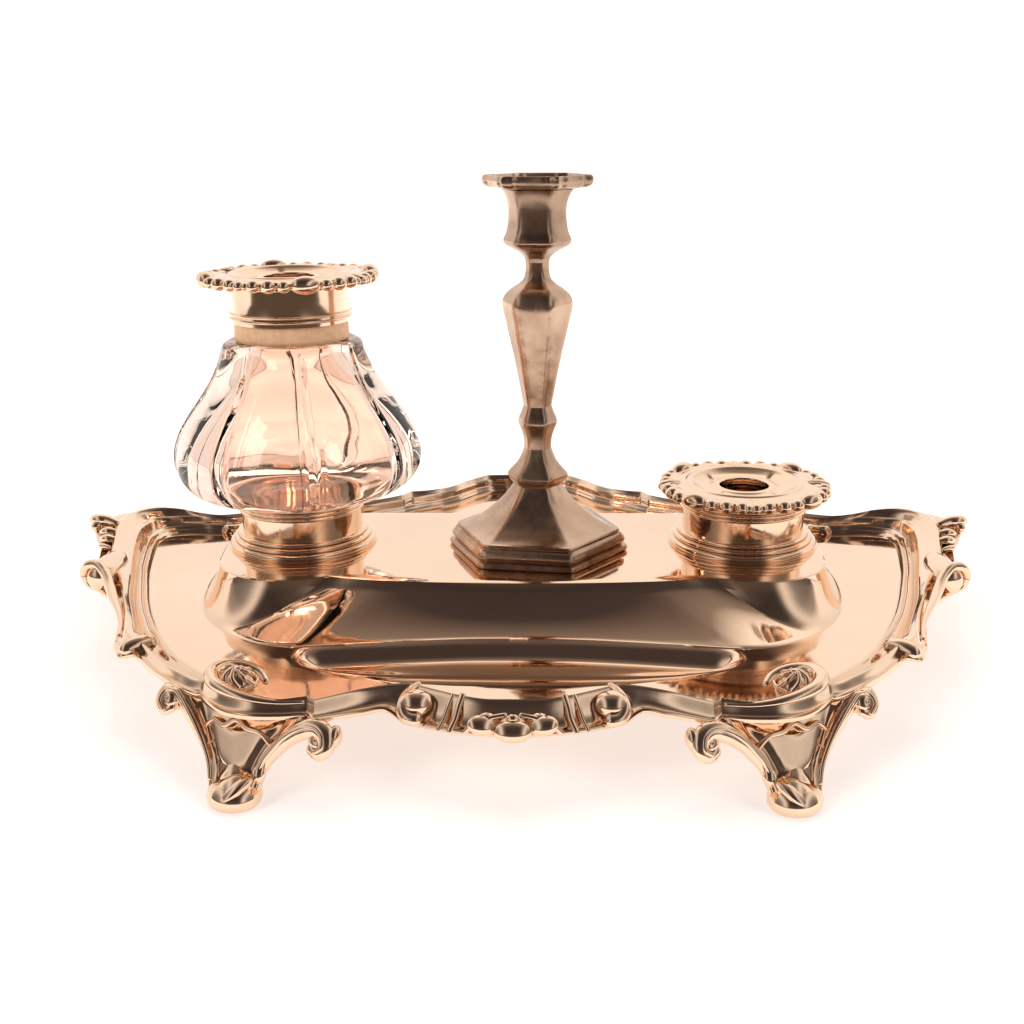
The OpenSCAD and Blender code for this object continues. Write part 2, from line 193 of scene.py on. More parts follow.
# ------------------------------------------------------------------ mesh helpers
def add_mesh(name, verts, faces, mat, body="stand", nodes=(), slot="silver", sharp=35.0):
    me = bpy.data.meshes.new(name)
    me.from_pydata([tuple(float(c) * MM for c in v) for v in verts], [], [tuple(int(i) for i in f) for f in faces])
    bm = bmesh.new()
    bm.from_mesh(me)
    bmesh.ops.remove_doubles(bm, verts=bm.verts, dist=1e-7)
    bmesh.ops.dissolve_degenerate(bm, dist=1e-8, edges=bm.edges)
    bmesh.ops.recalc_face_normals(bm, faces=bm.faces)
    bm.to_mesh(me)
    bm.free()
    me.shade_smooth()
    me.set_sharp_from_angle(angle=math.radians(sharp))
    me.materials.append(mat)
    ob = bpy.data.objects.new(name, me)
    bpy.context.scene.collection.objects.link(ob)
    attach(ob, body)
    if nodes:
        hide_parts(*nodes)
    return ob


class Build:
    """Collects several closed shells into one piece."""

    def __init__(self):
        self.v = []
        self.f = []

    def add(self, verts, faces):
        o = len(self.v)
        self.v.extend([tuple(p) for p in verts])
        self.f.extend([tuple(i + o for i in f) for f in faces])

    def obj(self, *a, **k):
        return add_mesh(a[0], self.v, self.f, *a[1:], **k)


def hermite(P, t, corners=(), closed=False, sub=None, step=0.6):
    """Smooth curve through the rows of P at parameters t; corners keep a break in direction."""
    P = np.asarray(P, float)
    n = len(P)
    out, idx = [], []
    tin = np.zeros_like(P)
    tout = np.zeros_like(P)
    for i in range(n):
        a, c = i - 1, i + 1
        if i in corners or a < 0 or c >= n:
            tin[i] = (P[i] - P[a]) / (t[i] - t[a]) if a >= 0 else 0
            tout[i] = (P[c] - P[i]) / (t[c] - t[i]) if c < n else 0
            if a < 0:
                tin[i] = tout[i]
            if c >= n:
                tout[i] = tin[i]
        else:
            d1, d2 = t[i] - t[a], t[c] - t[i]
            s1, s2 = (P[i] - P[a]) / d1, (P[c] - P[i]) / d2
            tin[i] = tout[i] = (s1 * d2 + s2 * d1) / (d1 + d2)
    for i in range(n - 1):
        h = t[i + 1] - t[i]
        m = sub if sub else max(2, int(round(h / step)))
        for k in range(m):
            u = k / m
            h00, h10 = 2 * u**3 - 3 * u**2 + 1, u**3 - 2 * u**2 + u
            h01, h11 = -2 * u**3 + 3 * u**2, u**3 - u**2
            out.append(h00 * P[i] + h10 * h * tout[i] + h01 * P[i + 1] + h11 * h * tin[i + 1])
            idx.append(i + u)
    out.append(P[-1])
    idx.append(n - 1)
    return np.array(out), np.array(idx)


def smooth_line(pts, step=0.6, corners=()):
    P = np.asarray(pts, float)
    t = np.concatenate([[0], np.cumsum(np.linalg.norm(np.diff(P, axis=0), axis=1))])
    return hermite(P, t, corners, step=step)[0]


def tube_faces(n_rings, m, closed_v=False, caps=True):
    f = []
    for i in range(n_rings - 1 + (1 if closed_v else 0)):
        a, b = i * m, ((i + 1) % n_rings) * m
        for j in range(m):
            k = (j + 1) % m
            f.append((a + j, a + k, b + k, b + j))
    if caps and not closed_v:
        f.append(tuple(range(m)))
        f.append(tuple((n_rings - 1) * m + j for j in range(m)))
    return f


def lathe(profile, centre, n=120, rfun=None, turn=0.0):
    """Closed profile of (r, z) turned about Z through centre."""
    P = np.asarray(profile, float)
    m = len(P)
    V = []
    for i in range(n):
        a = 2 * math.pi * i / n
        for r, z in P:
            rr, zz = (r, z) if rfun is None else rfun(a, r, z)
            V.append((centre[0] + rr * math.cos(a + turn), centre[1] + rr * math.sin(a + turn), centre[2] + zz))
    return V, tube_faces(n, m, closed_v=True)


def rnd(profile, r=0.25, seg=3):
    """Rounds the corners of a closed (r, z) polygon."""
    P = [np.array(p, float) for p in profile]
    out = []
    n = len(P)
    for i in range(n):
        a, b, c = P[i - 1], P[i], P[(i + 1) % n]
        d1, d2 = a - b, c - b
        l1, l2 = np.linalg.norm(d1), np.linalg.norm(d2)
        if l1 < 1e-6 or l2 < 1e-6:
            out.append(b)
            continue
        k = min(r, l1 * 0.45, l2 * 0.45)
        p, q = b + d1 / l1 * k, b + d2 / l2 * k
        for s in range(seg + 1):
            u = s / seg
            out.append((1 - u) ** 2 * p + 2 * u * (1 - u) * b + u * u * q)
    return out


def sweep(path, radii, m=16, up=(0, 0, 1), flat=1.0, cap_round=True):
    """Round bar along a path; radii per point, flat squeezes it along the up direction."""
    P = np.asarray(path, float)
    R = np.asarray(radii, float)
    n = len(P)
    T = np.gradient(P, axis=0)
    T /= np.linalg.norm(T, axis=1)[:, None] + 1e-12
    U = np.array(up, float)
    rings = []
    def ring(c, t, r):
        b = np.cross(t, U)
        lb = np.linalg.norm(b)
        b = b / lb if lb > 1e-6 else np.array([1.0, 0, 0])
        u = np.cross(b, t)
        return [c + r * (math.cos(a) * b + flat * math.sin(a) * u) for a in [2 * math.pi * j / m for j in range(m)]]
    if cap_round:
        for k in (0.12, 0.5, 0.85):
            rings.append(ring(P[0] - T[0] * R[0] * math.sqrt(1 - k * k) * 0.9, T[0], R[0] * k))
    for i in range(n):
        rings.append(ring(P[i], T[i], R[i]))
    if cap_round:
        for k in (0.85, 0.5, 0.12):
            rings.append(ring(P[-1] + T[-1] * R[-1] * math.sqrt(1 - k * k) * 0.9, T[-1], R[-1] * k))
    V = [p for r in rings for p in r]
    return V, tube_faces(len(rings), m)


def ball(c, r, squash=(1, 1, 1), n=20, m=12, rot=None, ribs=0, rib_d=0.0):
    V = []
    for i in range(1, m):
        ph = math.pi * i / m
        for j in range(n):
            a = 2 * math.pi * j / n
            k = 1 - rib_d * (0.5 - 0.5 * math.cos(ribs * a)) if ribs else 1
            p = Vector((r * k * math.sin(ph) * math.cos(a) * squash[0], r * k * math.sin(ph) * math.sin(a) * squash[1], r * math.cos(ph) * squash[2]))
            if rot is not None:
                p = rot @ p
            V.append((c[0] + p.x, c[1] + p.y, c[2] + p.z))
    F = tube_faces(m - 1, n)
    return V, F


# ------------------------------------------------------------------ border of the tray
# Right half, from the middle of the front round to the middle of the back.
# (foot x, y, bead x, y, z, lip x, y, z, corner, optional groove lines)
ST = [
    (0, -88.5, 0, -92.5, 23.4, 0, -98.4, 17.0, 0, None),
    (7, -88.3, 7, -92.3, 23.4, 7, -98.2, 17.0, 0, None),
    (13, -86.5, 13, -90.5, 23.5, 13, -97.0, 17.0, 0, None),
    (19.5, -83.5, 20.2, -87.0, 23.6, 20.5, -94.8, 17.0, 0, None),
    (25, -81.0, 25.7, -83.9, 23.7, 26.8, -92.3, 17.2, 1, None),
    (29.5, -81.7, 29.6, -85.1, 23.8, 30.2, -90.8, 19.2, 0, None),
    (36.5, -84.0, 36.5, -87.6, 23.7, 36.0, -92.3, 19.4, 0, None),
    (43, -86.3, 42.3, -91.0, 23.7, 42.3, -95.0, 19.5, 0, None),
    (48.5, -88.3, 47.2, -94.0, 23.7, 47.5, -97.7, 19.8, 1, None),
    (50, -88.4, 49.3, -92.0, 23.7, 49.5, -95.3, 20.0, 1, None),
    (56.5, -89.5, 56.5, -94.0, 23.7, 56.0, -97.0, 20.4, 0, None),
    (62, -88.8, 63.0, -93.8, 23.8, 62.5, -97.0, 20.5, 0, None),
    (66.5, -84.5, 68.6, -91.4, 23.9, 68.8, -95.0, 20.5, 0, None),
    (70.5, -79.5, 73.6, -87.0, 23.9, 74.4, -90.2, 20.8, 0, None),
    (73.0, -75.5, 76.2, -83.6, 23.8, 77.2, -86.4, 21.0, 1, None),
    (75.5, -72.5, 78.4, -82.8, 23.6, 79.5, -85.6, 21.2, 0, None),
    (80, -68.5, 83.6, -79.0, 23.6, 85.6, -80.6, 21.3, 0, None),
    (86.5, -62, 89.8, -73.0, 23.7, 92.0, -74.2, 21.4, 0, None),
    (91, -56.8, 94.6, -66.6, 23.7, 96.8, -68.0, 21.4, 0, None),
    (95, -50.5, 99.2, -60.0, 23.8, 101.0, -62.4, 21.2, 1, None),
    (99.3, -42.8, 102.8, -55.4, 23.6, 104.9, -62.6, 20.8, 0, (100.2, -44.6, 101.2, -47.0, 102.0, -51.5)),
    (101.2, -38.5, 105.4, -52.4, 23.7, 107.4, -58.4, 20.6, 0, (102.4, -40.8, 103.6, -43.6, 104.6, -48.2)),
    (103.8, -32.5, 108.1, -44.0, 23.7, 109.8, -50.0, 20.3, 0, (105.3, -34.4, 106.6, -36.6, 107.6, -40.5)),
    (107.0, -24.8, 111.9, -32.8, 23.7, 113.2, -37.5, 20.0, 0, (108.7, -26.4, 110.0, -28.2, 111.2, -30.8)),
    (110.1, -16.2, 116.2, -21.8, 23.7, 118.2, -26.0, 19.8, 0, (111.8, -17.6, 113.2, -19.2, 115.0, -20.6)),
    (112.8, -7.8, 119.8, -11.6, 23.8, 123.0, -17.0, 19.5, 0, (114.6, -8.8, 116.1, -9.6, 118.0, -10.8)),
    (115.3, 0.5, 123.4, -3.2, 23.8, 127.5, -11.0, 19.3, 0, (117.1, 0.0, 118.6, -0.4, 120.7, -1.2)),
    (117.8, 9.2, 127.6, 3.6, 23.9, 132.0, -6.0, 19.2, 0, (119.7, 9.0, 121.2, 8.9, 123.4, 8.8)),
    (119.8, 17.8, 130.4, 12.5, 23.9, 134.5, 4.0, 19.5, 0, (121.8, 17.8, 123.4, 17.8, 125.8, 17.9)),
    (121.4, 26.0, 132.8, 21.0, 23.9, 136.4, 14.0, 20.0, 0, (123.5, 26.2, 125.2, 26.4, 127.8, 26.6)),
    (122.7, 34.0, 135.0, 30.5, 24.4, 139.0, 24.5, 20.8, 0, (124.9, 34.4, 126.8, 34.8, 129.6, 35.0)),
    (123.0, 41.0, 136.6, 40.0, 25.2, 143.6, 34.5, 21.8, 0, (125.4, 42.0, 127.7, 42.8, 130.4, 43.6)),
    (121.6, 46.6, 135.4, 49.0, 25.9, 146.6, 44.5, 22.6, 0, (123.8, 48.0, 125.6, 49.4, 128.2, 51.0)),
    (117.0, 48.6, 130.4, 54.6, 26.0, 142.5, 53.8, 22.9, 0, (118.6, 50.6, 119.8, 52.0, 121.4, 53.4)),
    (111.5, 49.2, 121.8, 56.0, 25.3, 131.5, 61.0, 22.4, 0, (112.4, 51.0, 113.0, 52.2, 113.8, 53.6)),
    (106.5, 49.0, 113.6, 54.2, 24.3, 120.5, 57.2, 21.6, 0, (107.1, 50.6, 107.6, 51.8, 108.4, 53.0)),
    (102.0, 49.6, 106.2, 53.8, 23.6, 110.0, 55.2, 21.3, 0, (102.5, 51.0, 102.9, 52.1, 103.4, 53.0)),
    (97.0, 51.2, 100.6, 55.2, 23.6, 102.6, 57.2, 21.3, 0, None),
    (90, 54.3, 93.2, 58.4, 23.6, 95.0, 60.8, 21.3, 0, None),
    (82, 57.4, 84.2, 61.6, 23.6, 85.6, 64.2, 21.3, 0, None),
    (74, 60.2, 75.7, 64.5, 23.6, 76.8, 67.2, 21.3, 0, None),
    (65, 63.0, 66.4, 67.4, 23.6, 67.3, 70.0, 21.3, 0, None),
    (55.5, 66.5, 57.0, 71.0, 23.6, 58.0, 73.6, 21.3, 0, None),
    (48.5, 70.3, 50.0, 74.6, 23.7, 51.0, 77.3, 21.4, 0, None),
    (43.5, 73.0, 45.0, 77.6, 23.9, 46.2, 80.0, 21.5, 1, None),
    (40.5, 75.5, 42.2, 82.0, 24.0, 43.6, 84.8, 21.6, 1, None),
    (35, 79.6, 36.1, 83.8, 23.9, 37.0, 86.5, 21.5, 0, None),
    (30, 82.6, 30.9, 86.4, 23.9, 31.8, 88.8, 21.5, 0, None),
    (25.5, 86.7, 27.0, 90.2, 23.9, 28.2, 92.6, 21.5, 0, None),
    (21, 92.5, 22.8, 96.2, 23.9, 24.2, 98.8, 21.5, 0, None),
    (18, 96.6, 19.2, 100.8, 23.9, 20.4, 103.6, 21.5, 0, None),
    (14, 100.0, 15.0, 104.5, 23.9, 16.2, 107.0, 21.5, 0, None),
    (9, 101.3, 10.0, 105.4, 23.8, 11.0, 107.9, 21.3, 0, None),
    (0, 101.5, 0, 105.5, 23.8, 0, 108.0, 21.3, 0, None),
]


def lerp(a, b, k):
    return a + (b - a) * k


def station(row):
    F = np.array(row[0:2], float)
    B, zb = np.array(row[2:4], float), row[4]
    E, ze = np.array(row[5:7], float), row[7]
    if row[9]:
        D, G, H = (np.array(row[9][k : k + 2], float) for k in (0, 2, 4))
        deep = 0.9
    else:
        D, G, H = lerp(F, B, 0.26), lerp(F, B, 0.48), lerp(F, B, 0.66)
        deep = 0.0
    drop = zb - ze
    pts = [
        (F, 18.2),
        (lerp(F, D, 0.18), 18.9),
        (lerp(F, D, 0.55), 19.75),
        (lerp(F, D, 0.92), 19.35),
        (D, 19.2),
        (lerp(D, G, 0.25), 19.9),
        (lerp(D, G, 0.62), 20.45),
        (G, 19.95),
        (lerp(G, H, 0.35), 19.75 - deep),
        (lerp(G, H, 0.70), 20.1 - 0.6 * deep),
        (H, 22.3 if deep or F[1] > 50 else 21.3),
        (lerp(H, B, 0.45), 23.0 if deep or F[1] > 50 else 22.6),
        (lerp(H, B, 0.82), zb - 0.22),
        (B, zb),
        (lerp(B, E, 0.16), zb - 0.16 * drop),
        (lerp(B, E, 0.38), zb - 0.62 * drop),
        (lerp(B, E, 0.62), zb - 0.86 * drop),
        (lerp(B, E, 0.80), ze + 0.45),
        (lerp(B, E, 0.93), ze + 0.62),
        (E, ze),
        (lerp(B, E, 0.95), ze - 0.75),
        (lerp(B, E, 0.72), ze - 1.0),
        (lerp(B, E, 0.30), max(17.3, ze - 0.4 + 0.1 * drop)),
        (B, 18.0 if ze > 18 else 17.4),
        (lerp(F, B, 0.5), 17.45),
        (F, 17.5),
    ]
    return np.array([[p[0], p[1], z] for p, z in pts])


S = np.array([station(r) for r in ST])
K = S.shape[1]
mid = np.array([[lerp(r[2], r[5], 0.4), lerp(r[3], r[6], 0.4)] for r in ST])
T = np.concatenate([[0], np.cumsum(np.linalg.norm(np.diff(mid, axis=0), axis=1))])
CORN = [i for i, r in enumerate(ST) if r[8]]
flat_s, sidx = hermite(S.reshape(len(ST), -1), T, CORN, step=0.75)
rings0 = flat_s.reshape(-1, K, 3)


def refine_ring(r, sub=2):
    """Closed smooth loop through the control points of a cross section."""
    n = len(r)
    out = []
    for j in range(n):
        p0, p1, p2, p3 = r[j - 1], r[j], r[(j + 1) % n], r[(j + 2) % n]
        l1 = np.linalg.norm(p1 - p0) + 1e-6
        l2 = np.linalg.norm(p2 - p1) + 1e-6
        l3 = np.linalg.norm(p3 - p2) + 1e-6
        m1 = ((p1 - p0) / l1 * l2 + (p2 - p1) / l2 * l1) / (l1 + l2) * l2
        m2 = ((p2 - p1) / l2 * l3 + (p3 - p2) / l3 * l2) / (l2 + l3) * l2
        if j >= 19 or j == n - 1:
            m1 = m2 = p2 - p1
        for k in range(sub):
            u = k / sub
            out.append((2 * u**3 - 3 * u**2 + 1) * p1 + (u**3 - 2 * u**2 + u) * m1 + (-2 * u**3 + 3 * u**2) * p2 + (u**3 - u**2) * m2)
    return np.array(out)


RING_R = np.array([refine_ring(r) for r in rings0])
RING_L = RING_R[::-1].copy()
RING_L[:, :, 0] *= -1
IDX_R = sidx


def border_piece(name, lo, hi, side, nodes):
    """Stations lo..hi of the right half, mirrored for the left."""
    k = [i for i, s in enumerate(IDX_R) if lo - 1e-9 <= s <= hi + 1e-9]
    R = RING_R[k[0] : k[-1] + 1].copy()
    if side < 0:
        R[:, :, 0] *= -1
    V = R.reshape(-1, 3)
    return V, tube_faces(len(R), R.shape[1])


def both(name, lo, hi, nodes):
    k = [i for i, s in enumerate(IDX_R) if lo - 1e-9 <= s <= hi + 1e-9]
    R = RING_R[k[0] : k[-1] + 1].copy()
    Lf = R.copy()
    Lf[:, :, 0] *= -1
    if lo == 0:
        A = np.concatenate([Lf[::-1], R[1:]])
    else:
        A = np.concatenate([R, Lf[::-1][1:]])
    return add_mesh(name, A.reshape(-1, 3), tube_faces(len(A), A.shape[1]), M_BORD, nodes=nodes, sharp=42)


both("border_front_moulding", 0, 19, ["border_front"])
both("border_back_moulding", 36, len(ST) - 1, ["border_back"])
for s, nm in ((1, "border_right"), (-1, "border_left")):
    V, Fc = border_piece(nm, 19, 36, s, [nm])
    add_mesh(nm + "_moulding", V, Fc, M_BORD, nodes=[nm], sharp=42)


# ------------------------------------------------------------------ tray
P_HALF = [(0, -33), (12, -32.6), (23, -31.8), (34, -30.6), (45, -29.0), (52, -27.9), (55.5, -27.9), (59, -29.4), (64, -31.0), (70, -31.6), (76, -30.4), (82, -27.2), (86.6, -22.6), (89.4, -16), (90.4, -8), (91, 0), (91, 8), (89.6, 16), (86, 23.5), (79, 29.5), (69, 32.4), (56, 33), (40, 33), (0, 33)]
Q_HALF = [(0, -43.9), (15, -44.3), (30, -45.8), (42, -47.4), (50, -48.6), (56, -49.6), (62, -50.2), (68, -49.2), (75, -45.6), (82, -40.0), (88.5, -31.5), (92.5, -22), (95, -10), (96, 0), (96, 10), (95, 19), (91.5, 29), (85, 38), (75, 45.5), (62, 50.5), (42, 53), (0, 54)]


def polar(half, th, c=(0.0, 2.0)):
    pts = smooth_line(half, 0.8)
    full = np.concatenate([pts, (pts * [-1, 1])[::-1]])
    a = np.arctan2(full[:, 1] - c[1], full[:, 0] - c[0])
    r = np.hypot(full[:, 1] - c[1], full[:, 0] - c[0])
    o = np.argsort(a)
    a, r = a[o], r[o]
    a = np.concatenate([a - 2 * np.pi, a, a + 2 * np.pi])
    r = np.concatenate([r, r, r])
    return np.interp((th + np.pi) % (2 * np.pi) - np.pi, a, r)


NT = 720
TH = np.arange(NT) * 2 * np.pi / NT
RP = polar(P_HALF, TH)
RQ = polar(Q_HALF, TH)
FOOT_PTS = RING_R[:, 0, :2]
full = np.concatenate([FOOT_PTS, (FOOT_PTS * [-1, 1])[::-1]])
aF = np.arctan2(full[:, 1] - 2.0, full[:, 0])
rF = np.hypot(full[:, 1] - 2.0, full[:, 0])
o = np.argsort(aF)
aF, rF = aF[o], rF[o]
RF = np.interp((TH + np.pi) % (2 * np.pi) - np.pi, np.concatenate([aF - 2 * np.pi, aF, aF + 2 * np.pi]), np.concatenate([rF, rF, rF])) + 1.3
# smooth where the platform and floor meet round the back
QF = smooth_line(Q_HALF, 0.8)
WELL_F = np.array([(-62, -58), (-56.5, -63.6), (-50.9, -66.8), (-42.3, -70.8), (-29, -75.2), (-16, -77.4), (0, -78.3), (16, -77.4), (29, -75.2), (42.3, -70.8), (50.9, -66.8), (56.5, -63.6), (62, -58)])


def sstep(x):
    x = np.clip(x, 0, 1)
    return x * x * (3 - 2 * x)


def rear_edge(x):
    return np.interp(np.abs(x), QF[QF[:, 1] < -40][:, 0], QF[QF[:, 1] < -40][:, 1])


def floor_z(x, y):
    z = np.full_like(x, FLOOR)
    yr, yf = rear_edge(x), np.interp(x, WELL_F[:, 0], WELL_F[:, 1])
    e = sstep((61.0 - np.abs(x)) / 9.0)
    s = yr - y
    w = np.maximum(yr - yf, 1.0)
    wall = 6.6
    d = np.where(s < 0.9, 0.0, np.where(s < wall, sstep(0.06 + 0.94 * (s - 0.9) / (wall - 0.9)) * 1.0, 0.0))
    v = np.clip((s - wall) / np.maximum(w - wall, 1.0), 0, 1)
    rise = 1 - (1 - np.cos(v * np.pi)) / 2
    d = np.where(s >= wall, rise, d)
    inside = (y < 0) & (np.abs(x) < 61.0) & (s > 0)
    return z - np.where(inside, 4.2 * e * d, 0.0) + np.where((y < 0) & (np.abs(x) < 61) & (s >= -0.01) & (s < 0.9), 0.15, 0)


def tray_rows():
    rows = []
    ct, st = np.cos(TH), np.sin(TH)
    for k in (0.02, 0.2, 0.4, 0.6, 0.8, 0.93):
        r = RP * k
        rows.append(np.stack([r * ct, 2 + r * st, np.full(NT, TOPZ)], 1))
    # rounded top edge, cove wall; gentle ramp at the back
    back = sstep((st - 0.05) / 0.5)
    M = 18
    for k in range(M + 1):
        t = k / M
        r = lerp(RP - 0.9, RQ, t)
        zf = TOPZ - (TOPZ - FLOOR - 0.25) * (1 - (0.50 * (1 - t) ** 2.2 + 0.50 * (1 - t)))
        # soften the first step into a rounded arris
        zf = zf if k > 1 else (TOPZ if k == 0 else TOPZ - 0.28)
        zb = TOPZ - (TOPZ - FLOOR) * sstep(np.array(t))
        z = zf * (1 - back) + zb * back
        rows.append(np.stack([r * ct, 2 + r * st, z * np.ones(NT)], 1))
    for k in (0.45, 0.9):
        r = RQ + k
        x, y = r * ct, 2 + r * st
        z = floor_z(x, y)
        rows.append(np.stack([x, y, z], 1))
    Nf = 46
    for k in range(1, Nf + 1):
        t = (k / Nf) ** 1.15
        r = lerp(RQ + 0.9, RF, t)
        x, y = r * ct, 2 + r * st
        rows.append(np.stack([x, y, floor_z(x, y)], 1))
    return rows


TR = tray_rows()
top = np.concatenate(TR)
nr = len(TR)
sel = list(range(0, nr - 1, 3)) + [nr - 1]
bot = [r.copy() for r in (TR[i] for i in reversed(sel))]
for r in bot:
    r[:, 2] -= SHEET
    d = r[:, :2] - [0, 2]
    l = np.linalg.norm(d, axis=1)[:, None]
    r[:, :2] -= d / l * np.where(l > 3, 0.25, 0)
allr = TR + bot
add_mesh("tray_sheet", np.concatenate(allr), tube_faces(len(allr), NT), M_TRAY, nodes=["tray"], sharp=28)


# ------------------------------------------------------------------ curled scrolls and rosettes on the front corners
def corner_scroll(s):
    b = Build()
    path = smooth_line([(50.5, -92.6, 22.4), (56.5, -93.8, 22.9), (62.5, -93.2, 23.5), (68.6, -90.8, 24.3), (73.2, -86.6, 25.0), (74.4, -81.4, 25.3), (72.0, -77.6, 25.2), (67.8, -76.6, 24.6), (64.0, -78.0, 23.6), (61.8, -81.0, 22.4)], 0.5)
    n = len(path)
    rad = [0.85 + 1.25 * float(sstep(np.array(i / n * 1.7))) - 1.1 * max(0, (i / n - 0.72) / 0.28) for i in range(n)]
    b.add(*sweep(path, rad, 14, flat=0.75))
    # second, thinner line inside the curl
    path = smooth_line([(63.5, -89.8, 22.2), (68.6, -88.4, 23.4), (71.8, -85.0, 24.0), (72.0, -81.4, 24.2), (69.6, -79.3, 24.2), (66.2, -79.4, 24.0), (63.8, -81.6, 23.8), (63.6, -85.0, 23.6), (66.0, -87.4, 23.6), (69.0, -86.8, 24.0)], 0.5)
    n = len(path)
    b.add(*sweep(path, [0.9 - 0.35 * i / n for i in range(n)], 12, flat=0.9))
    # knurled boss: dome with overlapping buds
    V, Fc = ball((67.8, -83.4, 22.4), 4.5, (1, 1, 0.95), 40, 18, ribs=9, rib_d=0.08)
    b.add(V, Fc)
    for i in range(7):
        a = i * 2 * math.pi / 7
        path = smooth_line([(67.8 + 4.3 * math.cos(a), -83.4 + 4.3 * math.sin(a), 23.4), (67.8 + 3.2 * math.cos(a + 0.5), -83.4 + 3.2 * math.sin(a + 0.5), 25.6), (67.8 + 1.2 * math.cos(a + 1.1), -83.4 + 1.2 * math.sin(a + 1.1), 26.9)], 0.3)
        m = len(path)
        b.add(*sweep(path, [0.95 - 0.45 * k / m for k in range(m)], 12, flat=0.9))
    b.add(*ball((67.8, -83.4, 26.6), 1.3, (1, 1, 0.8), 18, 10))
    V = [(s * x, y, z) for x, y, z in b.v]
    nm = "scroll_front_right" if s > 0 else "scroll_front_left"
    add_mesh(nm + "_curl", V, b.f, M_BORD, nodes=[nm], sharp=50)


for s in (1, -1):
    corner_scroll(s)


# ------------------------------------------------------------------ shell, ribs and C-scroll ends on the front apron
b = Build()
for x0, dx, rx, rz, ry in ((0.0, 0.0, 4.7, 2.3, 2.9), (-7.2, -1.6, 3.7, 2.0, 2.6), (7.2, 1.6, 3.7, 2.0, 2.6)):
    tilt = Matrix.Rotation(math.radians(38), 3, "X") @ Matrix.Rotation(math.radians(-dx * 9), 3, "Y")
    b.add(*ball((x0, -99.4 + abs(x0) * 0.16, 18.4 + abs(x0) * 0.13), 1.0, (rx, ry, rz), 32, 20, tilt))
    b.add(*ball((x0 * 0.82, -98.0 + abs(x0) * 0.12, 19.6 + abs(x0) * 0.06), 1.0, (rx * 0.7, ry * 0.8, rz * 0.8), 24, 14, tilt))
b.add(*ball((0, -98.2, 21.2), 1.15, (1.35, 1, 0.85), 18, 12))
for s in (-1, 1):
    path = smooth_line([(s * 2.0, -97.0, 21.4), (s * 5.2, -97.6, 21.0), (s * 9.4, -98.0, 19.4), (s * 11.6, -97.8, 17.2)], 0.4)
    b.add(*sweep(path, [0.7] * len(path), 12, flat=0.9))
for s in (-1, 1):
    # raised rib with a hollow beside it
    path = smooth_line([(s * 12.2, -90.8, 23.4), (s * 13.0, -92.6, 21.6), (s * 13.8, -95.0, 19.2), (s * 15.0, -97.0, 17.2)], 0.4)
    b.add(*sweep(path, [0.85] * len(path), 12, flat=0.8))
    path = smooth_line([(s * 14.6, -90.0, 23.2), (s * 15.6, -92.0, 21.2), (s * 16.6, -94.2, 18.9), (s * 17.8, -96.0, 17.0)], 0.4)
    b.add(*sweep(path, [0.55] * len(path), 12, flat=0.8))
    # end of the C-scroll curling under the lip
    path = smooth_line([(s * 23.4, -84.6, 23.6), (s * 25.0, -86.8, 23.2), (s * 26.2, -89.4, 22.0), (s * 26.4, -91.6, 20.3), (s * 25.2, -93.2, 18.9), (s * 23.4, -93.8, 18.6)], 0.4)
    n = len(path)
    b.add(*sweep(path, [0.8 + 1.2 * float(sstep(np.array(i / n * 1.3))) for i in range(n)], 18, flat=0.85))
    b.add(*ball((s * 23.6, -89.6, 20.6), 5.4, (0.85, 0.72, 0.66), 28, 18))
add_mesh("front_shell_relief", b.v, b.f, M_BORD, nodes=["front_shell"], sharp=50)


